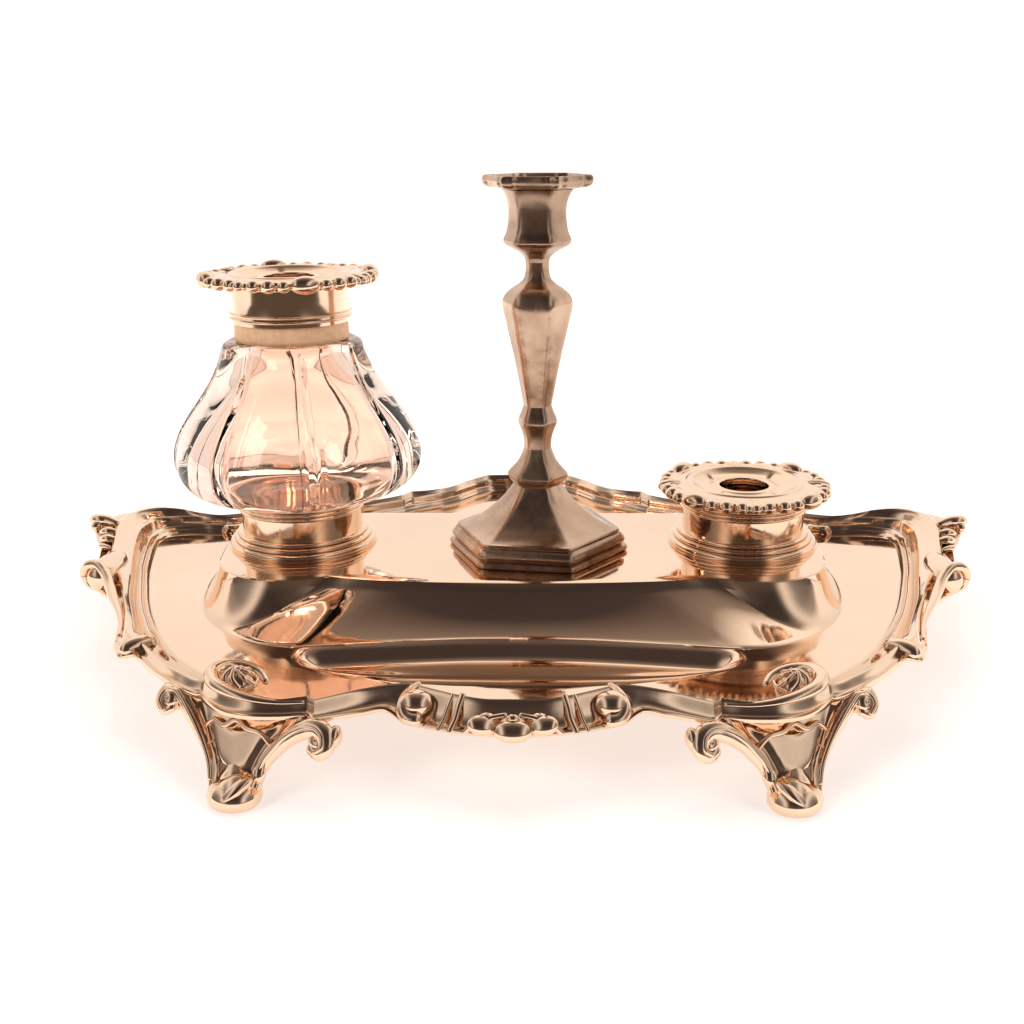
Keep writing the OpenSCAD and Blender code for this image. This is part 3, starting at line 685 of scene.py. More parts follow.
# ------------------------------------------------------------------ leaf clusters and side volutes
def leaf_cluster(s):
    b = Build()
    # rolled volute: heavy eye with a ridge that wraps over it
    cx, cz = 127.6, 22.8
    V, Fc = lathe(rnd([(0.01, -9.6), (2.4, -9.2), (3.8, -7.9), (4.2, -5.6), (4.2, 2.0), (3.4, 8.0), (1.6, 12.0), (0.01, 12.6)], 0.9, 4), (0, 0, 0), 40)
    b.add([(cx + x, z_, cz + y) for x, y, z_ in V], Fc)
    path = smooth_line([(108.6, -50.0, 21.6), (110.8, -42.0, 21.6), (114.0, -33.6, 21.8), (118.0, -25.4, 22.4), (121.6, -18.0, 24.0), (124.6, -12.6, 26.2), (127.8, -9.4, 27.6), (131.4, -7.8, 26.6), (133.0, -7.2, 23.6), (131.9, -7.2, 20.5), (129.2, -7.6, 19.0)], 0.5)
    b.add(*ball((cx - 0.2, -8.8, cz + 0.1), 4.1, (1.0, 0.62, 1.0), 28, 18))
    n = len(path)
    b.add(*sweep(path, [0.55 + 1.05 * float(sstep(np.array(i / n * 1.6))) - 0.7 * max(0, (i / n - 0.82) / 0.18) for i in range(n)], 14, flat=0.9))
    # blunt leaf tip at the front end of the side
    path = smooth_line([(98.4, -56.6, 22.3), (100.4, -58.2, 22.5), (102.2, -59.7, 22.3), (103.2, -60.6, 22.0)], 0.4)
    n = len(path)
    b.add(*sweep(path, [1.9 + 0.7 * math.sin(math.pi * (0.25 + 0.6 * i / n)) for i in range(n)], 20, flat=0.9))
    # scalloped leaf edge from the volute round to the rear
    leaves = [
        ((134.2, 19.5, 23.3), (137.6, 23.6, 22.2), 1.3),
        ((134.4, 27.0, 23.5), (138.6, 30.4, 22.5), 2.2),
        ((136.6, 34.6, 23.7), (141.0, 37.4, 22.6), 2.3),
    ]
    for (p, q, r) in leaves:
        p, q = np.array(p), np.array(q)
        m = (p + q) / 2 + [0, 0, 0.55]
        side = np.cross(q - p, [0, 0, 1.0])
        side /= np.linalg.norm(side)
        path = smooth_line([p, m + side * 1.1, q, q - side * 1.3 + [0, 0, -0.5]], 0.4)
        n = len(path)
        b.add(*sweep(path, [0.45 + (r - 0.5) * math.sin(math.pi * (0.08 + 0.72 * i / n)) for i in range(n)], 16, flat=0.7))
    # curled end of the leaf at the far corner
    path = smooth_line([(138.5, 41.0, 24.6), (142.2, 42.6, 25.2), (145.6, 43.4, 25.2), (147.0, 45.4, 24.6), (146.2, 47.6, 24.0), (144.0, 47.2, 24.2)], 0.4)
    n = len(path)
    b.add(*sweep(path, [1.0 + 1.3 * math.sin(math.pi * min(1, 0.1 + 0.8 * i / n)) for i in range(n)], 16, flat=0.8))
    for (x, y, z, r) in ((145.6, 41.2, 23.4, 2.0), (144.6, 48.6, 23.6, 1.9)):
        b.add(*ball((x, y, z), r, (1, 1, 0.85), 16, 10, ribs=5, rib_d=0.10))
    V = [(s * min(x, 149.6), y, z) for x, y, z in b.v]
    nm = "leaf_right" if s > 0 else "leaf_left"
    add_mesh(nm + "_cluster", V, b.f, M_BORD, nodes=[nm], sharp=50)


for s in (1, -1):
    leaf_cluster(s)


# ------------------------------------------------------------------ feet
def foot(name, x, y, turn, lean, tx, ty, flip):
    """Panel in (u across, v down); outward is the normal. Inner arm droops, outer arm is high."""
    b = Build()
    zt = 18.4
    R = Matrix.Rotation(math.radians(turn), 3, "Z") @ Matrix.Rotation(math.radians(-lean), 3, "X")
    # local frame: u = +X, v = -Z along the panel, outward = -Y
    def loc(u, v, n):
        u = u + 3.4 * (max(0.0, v) / 20.0) ** 1.5
        p = R @ Vector((flip * u, -n, -v))
        return (x + p.x, y + p.y, zt + p.z)
    W = [(-0.6, 16.4, 20.0), (1.5, 14.6, 18.6), (3.6, 12.8, 16.4), (6.0, 10.8, 13.4), (8.6, 9.2, 10.8), (11.6, 7.8, 8.8), (14.8, 6.7, 7.4), (17.6, 6.2, 6.6), (19.6, 5.8, 6.2), (20.8, 5.4, 5.8)]
    W = smooth_line(W, 0.5)
    ns = 36
    front, back = [], []
    for v, wl, wr in W:
        rf, rb = [], []
        for j in range(ns + 1):
            s = -1 + 2 * j / ns
            u = s * (wr if s > 0 else wl)
            a = abs(s)
            strap = 1.25 * math.exp(-((a - 0.86) / 0.11) ** 2)
            edge = 1.0 - 0.9 * max(0, (a - 0.92) / 0.08) ** 2
            # shield: raised field with a crisp edge and hollow round it
            shield_w = 0.62 - 0.20 * max(0, (v - 9) / 9)
            inside = 1 / (1 + math.exp((a - shield_w) * 34))
            lim = 1 / (1 + math.exp(-(v - 4.2 - 1.0 * math.cos(a * 6)) * 2.2)) * 1 / (1 + math.exp((v - 15.4 + 5 * a) * 1.8))
            n = 1.15 + strap + 0.75 * inside * lim - 0.25 * math.exp(-((a - shield_w - 0.12) / 0.09) ** 2)
            n *= edge
            n += 1.4 * max(0, (v - 15) / 6.0) ** 1.3 * (1 - a * a)
            rf.append(loc(u, v, n))
            rb.append(loc(u * 0.97, v, -1.6))
        front.append(rf)
        back.append(rb)
    m = 2 * (ns + 1)
    V = [p for rf, rb in zip(front, back) for p in (rf + rb[::-1])]
    b.add(V, tube_faces(len(front), m))
    # strap scrolls that run up both sides and curl outwards
    inner = [(5.2, 20.6), (5.8, 17.8), (6.8, 14.8), (8.4, 11.6), (10.8, 8.6), (13.8, 5.2), (17.0, 2.8), (20.0, 1.6), (22.6, 1.8), (24.4, 3.4), (24.4, 5.8), (22.8, 7.0), (21.2, 6.2)]
    outer = [(-5.2, 20.6), (-5.7, 17.5), (-6.5, 14.0), (-7.9, 10.5), (-10.0, 6.8), (-12.8, 3.4), (-16.0, 0.4), (-19.0, -1.6), (-21.6, -1.2), (-22.4, 1.6), (-20.8, 3.6), (-19.0, 2.6)]
    outn = R @ Vector((0, -1, 0))
    for k, pts in enumerate((inner, outer)):
        path = smooth_line([loc(u, v, 1.0 + 0.5 * math.sin(v * 0.35)) for u, v in pts], 0.45)
        n = len(path)
        big = 2.6 if k == 0 else 2.2
        rad = [1.3 + (big - 1.3) * float(sstep(np.array((i / n - 0.15) / 0.5))) - 0.9 * float(sstep(np.array((i / n - 0.75) / 0.25))) for i in range(n)]
        b.add(*sweep(path, rad, 18, up=tuple(outn), flat=0.85))
        # raised bead along the crest of the strap
        path = smooth_line([loc(u * 0.985, v, 2.6 + 0.5 * math.sin(v * 0.35)) for u, v in pts[1:-1]], 0.45)
        n = len(path)
        b.add(*sweep(path, [0.55 + 0.3 * math.sin(math.pi * i / n) for i in range(n)], 12, up=tuple(outn), flat=0.9))
        eu, ev = (22.4, 4.3) if k == 0 else (-20.0, 0.8)
        c = loc(eu, ev, 0.2)
        V2, F2 = lathe(rnd([(0.01, -2.2), (1.9, -2.2), (2.7, -1.2), (2.7, 1.2), (1.8, 2.6), (0.01, 3.0)], 0.7), (0, 0, 0), 28)
        Rm = R @ Matrix.Rotation(math.radians(90), 3, "X")
        b.add([tuple(Vector(c) + Rm @ Vector(p)) for p in V2], F2)
    # second lobe beyond the drooping volute
    b.add(*ball(loc(26.0, 2.6, 0.4), 2.3, (0.75, 0.95, 1.25), 20, 14, R))
    # small leaf knob where the inner strap leaves the leg
    b.add(*ball(loc(7.2, 14.2, 1.2), 2.0, (0.9, 0.8, 1.25), 18, 12, R))
    # wavy top edge of the shield
    path = smooth_line([loc(u, v, nn) for u, v, nn in ((-9.4, 6.0, 1.4), (-6.2, 3.6, 2.0), (-3.2, 4.6, 2.1), (0.0, 2.8, 2.1), (3.4, 4.4, 2.1), (6.6, 4.8, 2.0), (10.4, 7.6, 1.6))], 0.4)
    n = len(path)
    b.add(*sweep(path, [0.45 + 0.35 * math.sin(math.pi * i / n) for i in range(n)], 10, up=tuple(outn), flat=0.9))
    # hoof toe: domed block flat on the table, the leg runs out into it
    rz = Matrix.Rotation(math.radians(turn), 3, "Z")
    V3 = []
    prof = [(0.01, 0.0), (4.8, 0.0), (6.1, 0.3), (6.65, 1.3), (6.7, 2.5), (6.3, 3.7), (5.4, 4.7), (4.0, 5.5), (2.2, 5.9), (0.01, 6.0)]
    n = 44
    for i in range(n):
        a = 2 * math.pi * i / n
        for r, z in prof:
            px = r * math.cos(a)
            py = r * math.sin(a) * (0.92 if math.sin(a) < 0 else 1.0)
            q = rz @ Vector((px, py + 0.4, 0))
            V3.append((tx + q.x, ty + q.y, z))
    b.add(V3, tube_faces(n, len(prof), closed_v=True))
    # leg between panel and toe
    path = smooth_line([loc(0, 7.0, -0.8), loc(0, 11.0, -0.4), loc(0, 15.0, -0.2), loc(0, 18.0, -0.1), (tx, ty + 0.5, 3.4)], 0.5)
    k = len(path)
    b.add(*sweep(path, [6.6 - 1.0 * math.sin(math.pi * i / k) + 0.2 * i / k for i in range(k)], 28, up=tuple(outn), flat=0.36))
    path = smooth_line([loc(0, 12.0, -0.2), loc(0, 15.5, 0.5), loc(0, 18.0, 0.9), (tx, ty, 3.3)], 0.4)
    k = len(path)
    b.add(*sweep(path, [2.4 + 3.2 * float(sstep(np.array(i / k))) for i in range(k)], 26, up=tuple(outn), flat=0.66))
    V = [(p[0], p[1], max(0.0, min(p[2], 21.5))) for p in b.v]
    add_mesh(name + "_scroll", V, b.f, M_BORD, nodes=[name], sharp=48)


foot("foot_front_right", 66, -88.5, 20, 33, 66.5, -101.3, -1)
foot("foot_front_left", -66, -88.5, -20, 33, -66.5, -101.3, 1)
foot("foot_rear_right", 82, 57, 160, 33, 87, 71, 1)
foot("foot_rear_left", -82, 57, 200, 33, -87, 71, -1)


# ------------------------------------------------------------------ galleries (bottle seats)
def reeds(cx, r0, z0, items, n=144, inner=None):
    """Stack of round reeds on a cylinder: items of (out, mid height, radius)."""
    pts = [(inner, z0)]
    for out, zc, rr in items:
        for k in range(9):
            a = -math.pi / 2 + math.pi * k / 8
            pts.append((r0 + out + rr * math.cos(a), z0 + zc + rr * math.sin(a)))
    pts.append((inner, z0 + items[-1][1] + items[-1][2]))
    return lathe(pts, (cx, GY, 0), n)


for s, nm in ((1, "gallery_right"), (-1, "gallery_left")):
    cx = s * GX
    V, Fc = lathe(rnd([(17.2, TOPZ - 0.6), (18.2, TOPZ - 0.6), (18.2, 46.3), (17.2, 46.3)], 0.2), (cx, GY, 0), 144)
    # a sheet band: shallow waist so that it catches the light like rolled work
    V = [(cx + (x - cx) * (1 - 0.012 * math.sin(math.pi * min(1, max(0, (z - 35) / 8)))), GY + (y - GY) * (1 - 0.012 * math.sin(math.pi * min(1, max(0, (z - 35) / 8)))), z) for x, y, z in V]
    add_mesh(nm + "_band", V, Fc, M_FINE, nodes=[nm])
    b = Build()
    b.add(*reeds(cx, 18.2, TOPZ, [(2.95, 1.05, 1.05), (1.9, 2.75, 0.8), (0.85, 4.2, 0.72)], inner=17.9))
    b.add(*lathe(rnd([(17.9, TOPZ - 0.1), (22.3, TOPZ - 0.1), (22.6, TOPZ + 0.35), (17.9, TOPZ + 0.5)], 0.15), (cx, GY, 0), 144))
    b.obj(nm + "_base_reeds", M_FINE, nodes=[nm + "_base"])
    b = Build()
    b.add(*reeds(cx, 18.2, 41.9, [(0.35, 0.7, 0.62), (0.5, 2.0, 0.66), (0.45, 3.4, 0.9)], inner=17.9))
    b.obj(nm + "_rim_reeds", M_FINE, nodes=[nm + "_rim"])


# ------------------------------------------------------------------ glass bottle
OUT = [(16.6, 0.2), (16.6, 8.0), (16.6, 15.6), (18.0, 15.9), (20.5, 16.0), (26.0, 16.7), (31.5, 18.6), (35.0, 21.6), (36.9, 25.0), (37.3, 28.2), (36.8, 32.0), (35.2, 36.2), (32.4, 40.7), (29.2, 45.0), (26.4, 49.0), (24.0, 53.0), (22.4, 56.5), (21.2, 59.6), (20.3, 61.8), (18.6, 62.7), (16.0, 62.8), (14.8, 62.9), (14.8, 77.3)]
INN = [(11.0, 77.3), (11.0, 62.0), (11.2, 58.5), (13.5, 53.5), (17.5, 46.5), (22.0, 39.5), (26.0, 32.8), (27.8, 28.2), (27.6, 24.4), (25.0, 20.6), (20.5, 18.6), (10.0, 17.7), (0.01, 17.6)]
outl = smooth_line([(r, z, 0) for r, z in OUT], 0.9)[:, :2]
innl = smooth_line([(r, z, 0) for r, z in INN], 1.2)[:, :2]
prof = [(0.01, 0.2)] + [tuple(p) for p in outl] + [tuple(p) for p in innl]
N_OUT = len(outl) + 1


def lobes(a, r, z):
    if r < 15.2 and z < 15 or z > 62.5 or z < 15.7:
        return r, z
    w = float(sstep(np.array((z - 16.0) / 5.0)) * (0.35 + 0.65 * sstep(np.array((60.5 - z) / 9.0))) * sstep(np.array((62.2 - z) / 1.6)))
    ph = ((a - math.radians(-90 + 17.7)) % (math.pi / 4)) / (math.pi / 4)
    e = min(ph, 1 - ph) * 2
    groove = math.exp(-((e / 0.06) ** 2))
    lobe = math.sin(min(1, e * 1.0) * math.pi / 2) ** 0.7
    k = 1 - w * (0.045 * (1 - lobe) - 0.020 * math.exp(-(((e - 0.12) / 0.05) ** 2)) + 0.022 * groove)
    return r * k, z


V = []
n = 288
for i in range(n):
    a = 2 * math.pi * i / n
    for j, (r, z) in enumerate(prof):
        if 1 <= j < N_OUT:
            rr, zz = lobes(a, r, z)
        else:
            rr, zz = r, z
        V.append((-GX + rr * math.cos(a), GY + rr * math.sin(a), TOPZ + zz))
add_mesh("bottle_glass", V, tube_faces(n, len(prof), closed_v=True), M_GLASS, "bottle", ["glass_bottle"], "glass", sharp=60)

V, Fc = lathe(rnd([(14.95, 62.95), (16.5, 62.95), (16.8, 64.0), (16.6, 68.4), (14.95, 68.4)], 0.35, 4), (-GX, GY, TOPZ), 120)
rg = random.Random(5)
V = [(x + rg.uniform(-0.06, 0.06), y + rg.uniform(-0.06, 0.06), z) for x, y, z in V]
add_mesh("neck_plaster_band", V, Fc, M_CEM, "bottle", ["neck_cement"], "cement", sharp=60)

cp = [(16.6, COLLAR_Z + 1.5), (17.5, COLLAR_Z + 1.5), (17.5, COLLAR_Z + 2.2)]
for zc in (2.9, 4.3):
    for k in range(7):
        a = -math.pi / 2 + math.pi * k / 6
        cp.append((17.5 + 0.42 * math.cos(a), COLLAR_Z + zc + 0.42 * math.sin(a)))
cp += [(17.45, COLLAR_Z + 5.2), (17.4, COLLAR_Z + 8.0), (17.5, COLLAR_TOP - 0.25), (17.25, COLLAR_TOP), (11.3, COLLAR_TOP), (11.3, COLLAR_TOP - 1.3), (16.6, COLLAR_TOP - 1.3)]
V, Fc = lathe(cp, (-GX, GY, 0), 144)
add_mesh("neck_collar_band", V, Fc, M_FINE, "bottle", ["neck_collar"], sharp=30)


# ------------------------------------------------------------------ dip covers
def cover(side, x, z0, turn):
    """Shaped lid with a dip hole; turn puts the four main beads on the axes or between them."""
    body = "cover_" + side
    t0 = math.radians(turn)

    def waves(a, r, z):
        k = max(0.0, min(1.0, (r - 16.5) / 4.0))
        q = a - t0
        rr = r + k * (0.35 * math.cos(4 * q) + 0.25 * math.cos(8 * q))
        dish = max(0.0, min(1.0, (r - 9.6) / 2.0)) * max(0.0, min(1.0, (15.6 - r) / 2.5))
        crease = math.exp(-(((q + math.pi / 4) % (math.pi / 2) - math.pi / 4) / 0.06) ** 2)
        zz = z - dish * 0.5 * crease if z > 1.6 else z
        return rr, zz

    top_line = smooth_line([(7.5, 1.1, 0), (7.45, 2.4, 0), (8.0, 2.5, 0), (9.0, 2.45, 0), (9.8, 2.05, 0), (11.2, 1.7, 0), (13.2, 2.0, 0), (15.0, 2.9, 0), (16.4, 3.75, 0), (17.2, 3.7, 0), (17.8, 3.3, 0), (19.0, 3.15, 0), (20.4, 3.1, 0), (21.6, 2.9, 0)], 0.35)[:, :2]
    pr = [(7.5, 0.85), *[tuple(p) for p in top_line], (21.9, 2.4), (21.4, 1.75), (17.0, 0.1), (9.3, 0.1), (9.2, 0.85)]
    V, Fc = lathe(pr, (x, GY, z0), 180, waves)
    add_mesh(body + "_dish", V, Fc, M_FINE, body, [body + "_plate"], sharp=50)

    b = Build()
    def rim(a, r, z):
        q = a - t0
        k = max(0.0, min(1.0, (r - 20.4) / 2.5))
        return r + k * (0.55 * math.cos(4 * q) + 0.35 * math.cos(16 * q)), z + k * 0.25 * math.cos(16 * q)
    V, Fc = lathe(rnd([(20.2, 1.5), (23.0, 1.1), (24.3, 2.0), (24.0, 3.0), (22.4, 3.4), (20.2, 3.0)], 0.5, 3), (x, GY, z0), 192, rim)
    b.add(V, Fc)
    for i in range(4):
        a = t0 + i * math.pi / 2
        c = (x + 23.9 * math.cos(a), GY + 23.9 * math.sin(a), z0 + 2.3)
        rot = Matrix.Rotation(a, 3, "Z")
        b.add(*ball(c, 2.75, (1.0, 1.6, 0.92), 28, 16, rot))
        for d, rr, ro in ((-0.25, 2.0, 24.2), (0.25, 2.0, 24.2), (-0.43, 2.25, 23.8), (0.43, 2.25, 23.8), (-0.62, 2.1, 23.6), (0.62, 2.1, 23.6), (0.785, 1.6, 23.9)):
            c = (x + ro * math.cos(a + d), GY + ro * math.sin(a + d), z0 + 2.05)
            b.add(*ball(c, rr, (1.0, 1.0, 0.85), 20, 12, Matrix.Rotation(a + d, 3, "Z")))
        # pointed shell between the main beads
        a2 = a + math.pi / 4
        for d, rr in ((0, 2.0), (-0.085, 1.5), (0.085, 1.5)):
            p0 = np.array((x + 19.4 * math.cos(a2 + d * 0.6), GY + 19.4 * math.sin(a2 + d * 0.6), z0 + 2.9))
            p1 = np.array((x + 24.6 * math.cos(a2 + d), GY + 24.6 * math.sin(a2 + d), z0 + 2.1))
            path = smooth_line([p0, (p0 + p1) / 2 + [0, 0, 0.5], p1], 0.3)
            m = len(path)
            b.add(*sweep(path, [0.5 + (rr - 0.7) * (i2 / m) for i2 in range(m)], 12, flat=0.8))
    V = [(px, py, pz) for px, py, pz in b.v]
    add_mesh(body + "_beading", V, b.f, M_FINE, body, [body + "_border"], sharp=50)
    V, Fc = lathe(rnd([(9.7, z0 - 4.9), (10.6, z0 - 4.9), (10.7, z0 + 0.4), (9.7, z0 + 0.4)], 0.2), (x, GY, 0), 96)
    add_mesh(body + "_neck_ring", V, Fc, M_FINE, body, [body + "_bezel"])


cover("left", -GX, COLLAR_TOP, 22)
cover("right", GX, COVER_R_Z, 45)


# ------------------------------------------------------------------ taperstick
def hex_ring(R, z, fil=0.45, concave=0.0, per=3, edge=3):
    """Rounded hexagon of corner radius R, corners on the left and right."""
    pts = []
    fil = min(fil, R * 0.2)
    C = [np.array((R * math.cos(math.radians(60 * k)), R * math.sin(math.radians(60 * k)))) for k in range(6)]
    for k in range(6):
        a, c, e = C[k - 1], C[k], C[(k + 1) % 6]
        p, q = c + (a - c) / np.linalg.norm(a - c) * fil, c + (e - c) / np.linalg.norm(e - c) * fil
        for s in range(per + 1):
            u = s / per
            pts.append((1 - u) ** 2 * p + 2 * u * (1 - u) * c + u * u * q)
        nx = e + (c - e) / np.linalg.norm(c - e) * fil
        for s in range(1, edge + 1):
            u = s / (edge + 1)
            m = q + (nx - q) * u
            m = m * (1 - concave * 4 * u * (1 - u))
            pts.append(m)
    return [(p[0], p[1], z) for p in pts]


def on_stick(V):
    t = math.radians(STURN)
    return [(SX + x * math.cos(t) - y * math.sin(t), SY + x * math.sin(t) + y * math.cos(t), TOPZ + z) for x, y, z in V]


def hex_part(name, prof, nodes, body="taperstick", mat=None, fil=0.45, step=0.8, smooth=True, concave=0.0, sharp=27):
    line = smooth_line([(r, z, 0) for r, z in prof], step)[:, :2] if smooth else prof
    V = []
    for r, z in line:
        V += hex_ring(r, z, fil, concave)
    m = len(hex_ring(5, 0))
    return add_mesh(name, on_stick(V), tube_faces(len(line), m), mat or M_STICK, body, nodes, sharp=sharp)


hex_part("stick_plinth_steps", [(26.4, 0.0), (27.2, 0.15), (27.6, 0.7), (27.6, 1.3), (27.2, 1.8), (26.3, 2.05), (25.8, 2.3), (25.9, 2.7), (26.7, 3.1), (26.8, 3.6), (26.6, 4.4), (26.0, 5.1), (25.2, 5.5), (24.9, 5.7), (25.1, 6.0), (25.2, 6.4), (24.8, 6.8), (24.2, 6.9), (21.0, 6.9)], ["stick_plinth"], smooth=False, fil=1.6)
hex_part("stick_foot_facets", [(24.3, 6.6), (22.0, 7.4), (19.7, 8.6), (17.4, 10.0), (15.4, 11.6), (13.4, 13.2), (11.8, 14.6), (10.3, 16.2), (9.1, 17.8), (8.1, 19.2), (7.5, 20.1)], ["stick_foot"], fil=1.3)
hex_part("stick_collar_bell", [(7.4, 19.9), (7.9, 20.3), (8.8, 21.4), (9.3, 22.3), (9.35, 23.2), (8.8, 23.9), (7.4, 25.4), (6.2, 26.9), (5.1, 29.0), (4.35, 31.0)], ["stick_collar"], fil=1.2, step=0.5)
hex_part("stick_knop_ring", [(4.3, 30.9), (4.3, 32.6), (4.55, 34.4), (5.2, 36.6), (5.95, 38.3), (6.1, 39.1), (5.9, 40.1), (5.1, 41.9), (4.4, 43.7)], ["stick_knop"], fil=1.1, step=0.5)
hex_part("stick_stem_baluster", [(4.35, 43.5), (4.5, 44.5), (5.3, 48.5), (6.4, 54.0), (7.6, 59.5), (8.8, 64.5), (9.8, 69.0), (10.6, 72.3), (10.7, 74.0), (10.0, 76.0), (8.0, 77.9), (5.6, 79.4), (4.2, 80.7), (3.65, 82.6), (3.6, 85.8)], ["stick_stem"], fil=1.7, step=0.8)


def hex_shell(name, outer, inner_r, z_in, nodes, body, fil=1.3, concave=0.0, step=0.5):
    """Faceted outside with a round bore down to z_in."""
    line = smooth_line([(r, z, 0) for r, z in outer], step)[:, :2]
    V = []
    for r, z in line:
        V += hex_ring(r, z, fil, concave)
    m = len(hex_ring(5, 0))
    h = hex_ring(10.0, 0, fil)
    ang = [math.atan2(p[1], p[0]) for p in h]
    zt = line[-1][1]
    for z in (zt - 0.05, z_in):
        V += [(inner_r * math.cos(a), inner_r * math.sin(a), z) for a in ang]
    V += [(0.05 * math.cos(a), 0.05 * math.sin(a), z_in) for a in ang]
    return add_mesh(name, on_stick(V), tube_faces(len(line) + 3, m), M_STICK, body, nodes, sharp=30)


hex_shell("stick_socket_cup", [(3.6, 85.4), (3.9, 86.6), (5.4, 88.0), (7.8, 89.3), (9.7, 90.5), (10.15, 91.2), (10.0, 92.1), (9.3, 93.6), (8.85, 95.6), (8.6, 98.5), (8.7, 101.0), (9.3, 103.4), (10.3, 105.2), (10.55, 105.5)], 6.9, 90.0, ["stick_socket"], "taperstick")

V, Fc = lathe(rnd([(6.0, 90.4), (6.6, 90.4), (6.6, 106.6), (7.4, 107.6), (6.0, 107.6)], 0.2), (0, 0, 0), 72)
add_mesh("nozzle_tube", on_stick(V), Fc, M_FINE, "nozzle", ["nozzle_sleeve"])


def pan():
    """Shallow six-lobed drip pan with incurved sides and a rolled edge."""
    prof = [(6.6, 105.6), (9.5, 105.55), (12.2, 106.0), (13.6, 106.2), (14.7, 106.9), (15.1, 107.9), (15.0, 108.9), (14.5, 109.5), (13.9, 109.4), (12.9, 108.4), (11.4, 107.7), (9.0, 107.4), (7.4, 107.7), (6.9, 108.2), (6.6, 107.9)]
    line = smooth_line([(r, z, 0) for r, z in prof], 0.5)[:, :2]
    V = []
    n = 144
    for i in range(n):
        a = 2 * math.pi * i / n
        q = (a % (math.pi / 3)) - math.pi / 6
        apo = math.cos(math.pi / 6) / math.cos(q)
        for r, z in line:
            k = max(0.0, min(1.0, (r - 7.2) / 5.0))
            lob = apo * (1 - 0.035 * math.cos(q * 3) ** 2)
            pr_ = abs(q) / (math.pi / 6)
            notch = 0.05 * math.exp(-(((pr_ - 0.72) / 0.12) ** 2))
            rr = r * (1 - k + k * (lob - notch + 0.045))
            V.append((rr * math.cos(a), rr * math.sin(a), z))
    return V, tube_faces(n, len(line), closed_v=True)


V, Fc = pan()
add_mesh("nozzle_drip_pan", on_stick(V), Fc, M_STICK, "nozzle", ["nozzle_pan"], sharp=45)

# CAD solids that stay: felt pad, pitch filling and the rod inside the stick
for node, mat in (("stick_base_plate", M_BAIZE), ("stick_loading", M_PITCH), ("stick_rod", M_IRON)):
    o_ = bpy.data.objects.get(node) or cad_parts[node]
    o_.data.materials.clear()
    o_.data.materials.append(mat)


# ------------------------------------------------------------------ stage, light and camera
def floor():
    me = bpy.data.meshes.new("floor")
    s = 4.0
    me.from_pydata([(-s, -0.26, 0), (s, -0.26, 0), (s, s, 0), (-s, s, 0)], [], [(0, 1, 2, 3)])
    m, nt, b_ = new_mat("floor_paper")
    b_.inputs["Base Color"].default_value = (0.60, 0.585, 0.57, 1)
    b_.inputs["Roughness"].default_value = 0.9
    b_.inputs["Specular IOR Level"].default_value = 0.0
    b_.inputs["Emission Color"].default_value = (1.0, 0.975, 0.955, 1)
    geo = nt.nodes.new("ShaderNodeNewGeometry")
    sx = nt.nodes.new("ShaderNodeSeparateXYZ")
    mr = nt.nodes.new("ShaderNodeMapRange")
    mr.interpolation_type = "SMOOTHSTEP"
    mr.inputs["From Min"].default_value = 0.10
    mr.inputs["From Max"].default_value = 0.75
    mr.inputs["To Min"].default_value = 0.56
    mr.inputs["To Max"].default_value = 0.97
    nt.links.new(geo.outputs["Position"], sx.inputs["Vector"])
    nt.links.new(sx.outputs["Y"], mr.inputs["Value"])
    nt.links.new(mr.outputs["Result"], b_.inputs["Emission Strength"])
    me.materials.append(m)
    ob = bpy.data.objects.new("floor", me)
    bpy.context.scene.collection.objects.link(ob)


floor()

world = bpy.data.worlds.new("studio")
bpy.context.scene.world = world
world.use_nodes = True
nt = world.node_tree
L = nt.links
bgn = nt.nodes["Background"]
outn = nt.nodes["World Output"]
tc = nt.nodes.new("ShaderNodeTexCoord")
sep = nt.nodes.new("ShaderNodeSeparateXYZ")
L.new(tc.outputs["Generated"], sep.inputs["Vector"])


def math_node(op, a, b_=None):
    n_ = nt.nodes.new("ShaderNodeMath")
    n_.operation = op
    for k, v in ((0, a), (1, b_)):
        if v is None:
            continue
        if isinstance(v, (int, float)):
            n_.inputs[k].default_value = v
        else:
            L.new(v, n_.inputs[k])
    return n_.outputs[0]


ny = math_node("MULTIPLY", sep.outputs["Y"], -1.0)
phi = math_node("ARCTAN2", sep.outputs["Z"], ny)          # 0 towards the camera, pi/2 overhead
phd = math_node("DIVIDE", phi, math.pi)
ramp = nt.nodes.new("ShaderNodeValToRGB")
cr = ramp.color_ramp
cr.interpolation = "LINEAR"
cr.elements[0].position = 0.0
cr.elements[0].color = (0.10, 0.075, 0.06, 1)
cr.elements[1].position = 1.0
cr.elements[1].color = (1.0, 0.97, 0.94, 1)
for pos, col in ((0.06, (0.085, 0.066, 0.058)), (0.20, (0.045, 0.036, 0.036)), (0.42, (0.060, 0.048, 0.047)), (0.50, (0.15, 0.118, 0.105)), (0.61, (0.27, 0.225, 0.195)), (0.66, (0.66, 0.59, 0.53)), (0.72, (1.12, 1.06, 1.0))):
    e = cr.elements.new(pos)
    e.color = (*col, 1)
L.new(phd, ramp.inputs["Fac"])
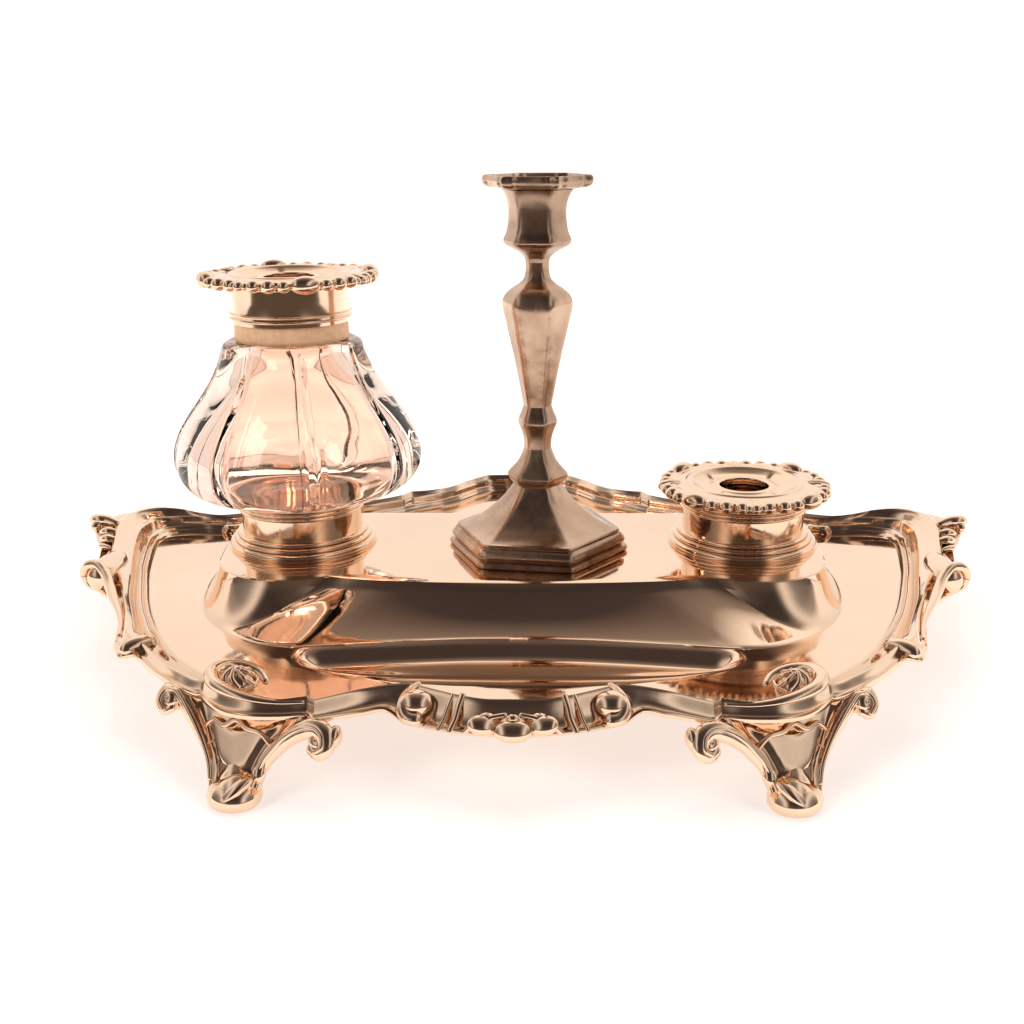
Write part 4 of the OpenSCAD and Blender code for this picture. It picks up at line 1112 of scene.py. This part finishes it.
# the sides open up to bright reflectors
ax = math_node("ABSOLUTE", sep.outputs["X"])
side = nt.nodes.new("ShaderNodeValToRGB")
sr = side.color_ramp
sr.interpolation = "B_SPLINE"
sr.elements[0].position = 0.30
sr.elements[0].color = (0, 0, 0, 1)
sr.elements[1].position = 1.0
sr.elements[1].color = (0.16, 0.16, 0.16, 1)
for pos, v in ((0.46, 0.03), (0.58, 0.95), (0.67, 0.95), (0.80, 0.22)):
    e = sr.elements.new(pos)
    e.color = (v, v, v, 1)
L.new(ax, side.inputs["Fac"])
up_ = nt.nodes.new("ShaderNodeMapRange")
up_.interpolation_type = "SMOOTHSTEP"
up_.inputs["From Min"].default_value = -0.12
up_.inputs["From Max"].default_value = 0.25
L.new(sep.outputs["Z"], up_.inputs["Value"])
gate = math_node("MULTIPLY", side.outputs["Color"], up_.outputs["Result"])
mixs = nt.nodes.new("ShaderNodeMix")
mixs.data_type = "RGBA"
mixs.inputs["B"].default_value = (0.88, 0.83, 0.79, 1)
L.new(gate, mixs.inputs["Factor"])
L.new(ramp.outputs["Color"], mixs.inputs["A"])
L.new(mixs.outputs["Result"], bgn.inputs["Color"])
bgn.inputs["Strength"].default_value = 1.0
bg2 = nt.nodes.new("ShaderNodeBackground")
bg2.inputs["Color"].default_value = (1, 1, 1, 1)
bg2.inputs["Strength"].default_value = 1.05
lp = nt.nodes.new("ShaderNodeLightPath")
ms = nt.nodes.new("ShaderNodeMixShader")
L.new(lp.outputs["Is Camera Ray"], ms.inputs["Fac"])
L.new(bgn.outputs["Background"], ms.inputs[1])
L.new(bg2.outputs["Background"], ms.inputs[2])
bg3 = nt.nodes.new("ShaderNodeBackground")
bg3.inputs["Color"].default_value = (1.0, 0.90, 0.83, 1)
ms3 = nt.nodes.new("ShaderNodeMixShader")
L.new(math_node("MULTIPLY", lp.outputs["Is Transmission Ray"], 0.65), ms3.inputs["Fac"])
L.new(ms.outputs["Shader"], ms3.inputs[1])
L.new(bg3.outputs["Background"], ms3.inputs[2])
L.new(ms3.outputs["Shader"], outn.inputs["Surface"])


def area(name, loc, target, size, power, colour=(1, 0.97, 0.93)):
    d = bpy.data.lights.new(name, "AREA")
    d.shape = "RECTANGLE"
    d.size, d.size_y = size
    d.energy = power
    d.color = colour
    o = bpy.data.objects.new(name, d)
    o.location = loc
    v = Vector(target) - Vector(loc)
    o.rotation_euler = v.to_track_quat("-Z", "Y").to_euler()
    bpy.context.scene.collection.objects.link(o)
    return o


area("softbox_left", (-0.85, -0.75, 0.72), (0, 0, 0.04), (0.5, 0.5), 5.0).visible_glossy = False
area("softbox_right", (0.95, -0.70, 0.65), (0, 0, 0.04), (0.5, 0.5), 4.0).visible_glossy = False
area("top_back", (0.0, 0.45, 1.25), (0, 0, 0.02), (1.4, 1.0), 9.0).visible_glossy = False

cam = bpy.data.cameras.new("camera")
cam.sensor_width = 36.0
cam.lens = 36.0 * 1286.0 / 1024.0
cam.clip_start = 0.01
cam.clip_end = 50.0
co = bpy.data.objects.new("camera", cam)
yaw, pitch, roll = (math.radians(a) for a in (-1.74, 17.17, -0.43))
f = Vector((math.sin(yaw) * math.cos(pitch), math.cos(yaw) * math.cos(pitch), -math.sin(pitch)))
r = Vector((math.cos(yaw), -math.sin(yaw), 0))
u = r.cross(f)
r2 = math.cos(roll) * r + math.sin(roll) * u
u2 = -math.sin(roll) * r + math.cos(roll) * u
m = Matrix((r2, u2, -f)).transposed().to_4x4()
m.translation = Vector((8.5, -371.6, 156.3)) * MM
co.matrix_world = m
bpy.context.scene.collection.objects.link(co)
bpy.context.scene.camera = co
bpy.context.scene.view_settings.view_transform = "Standard"
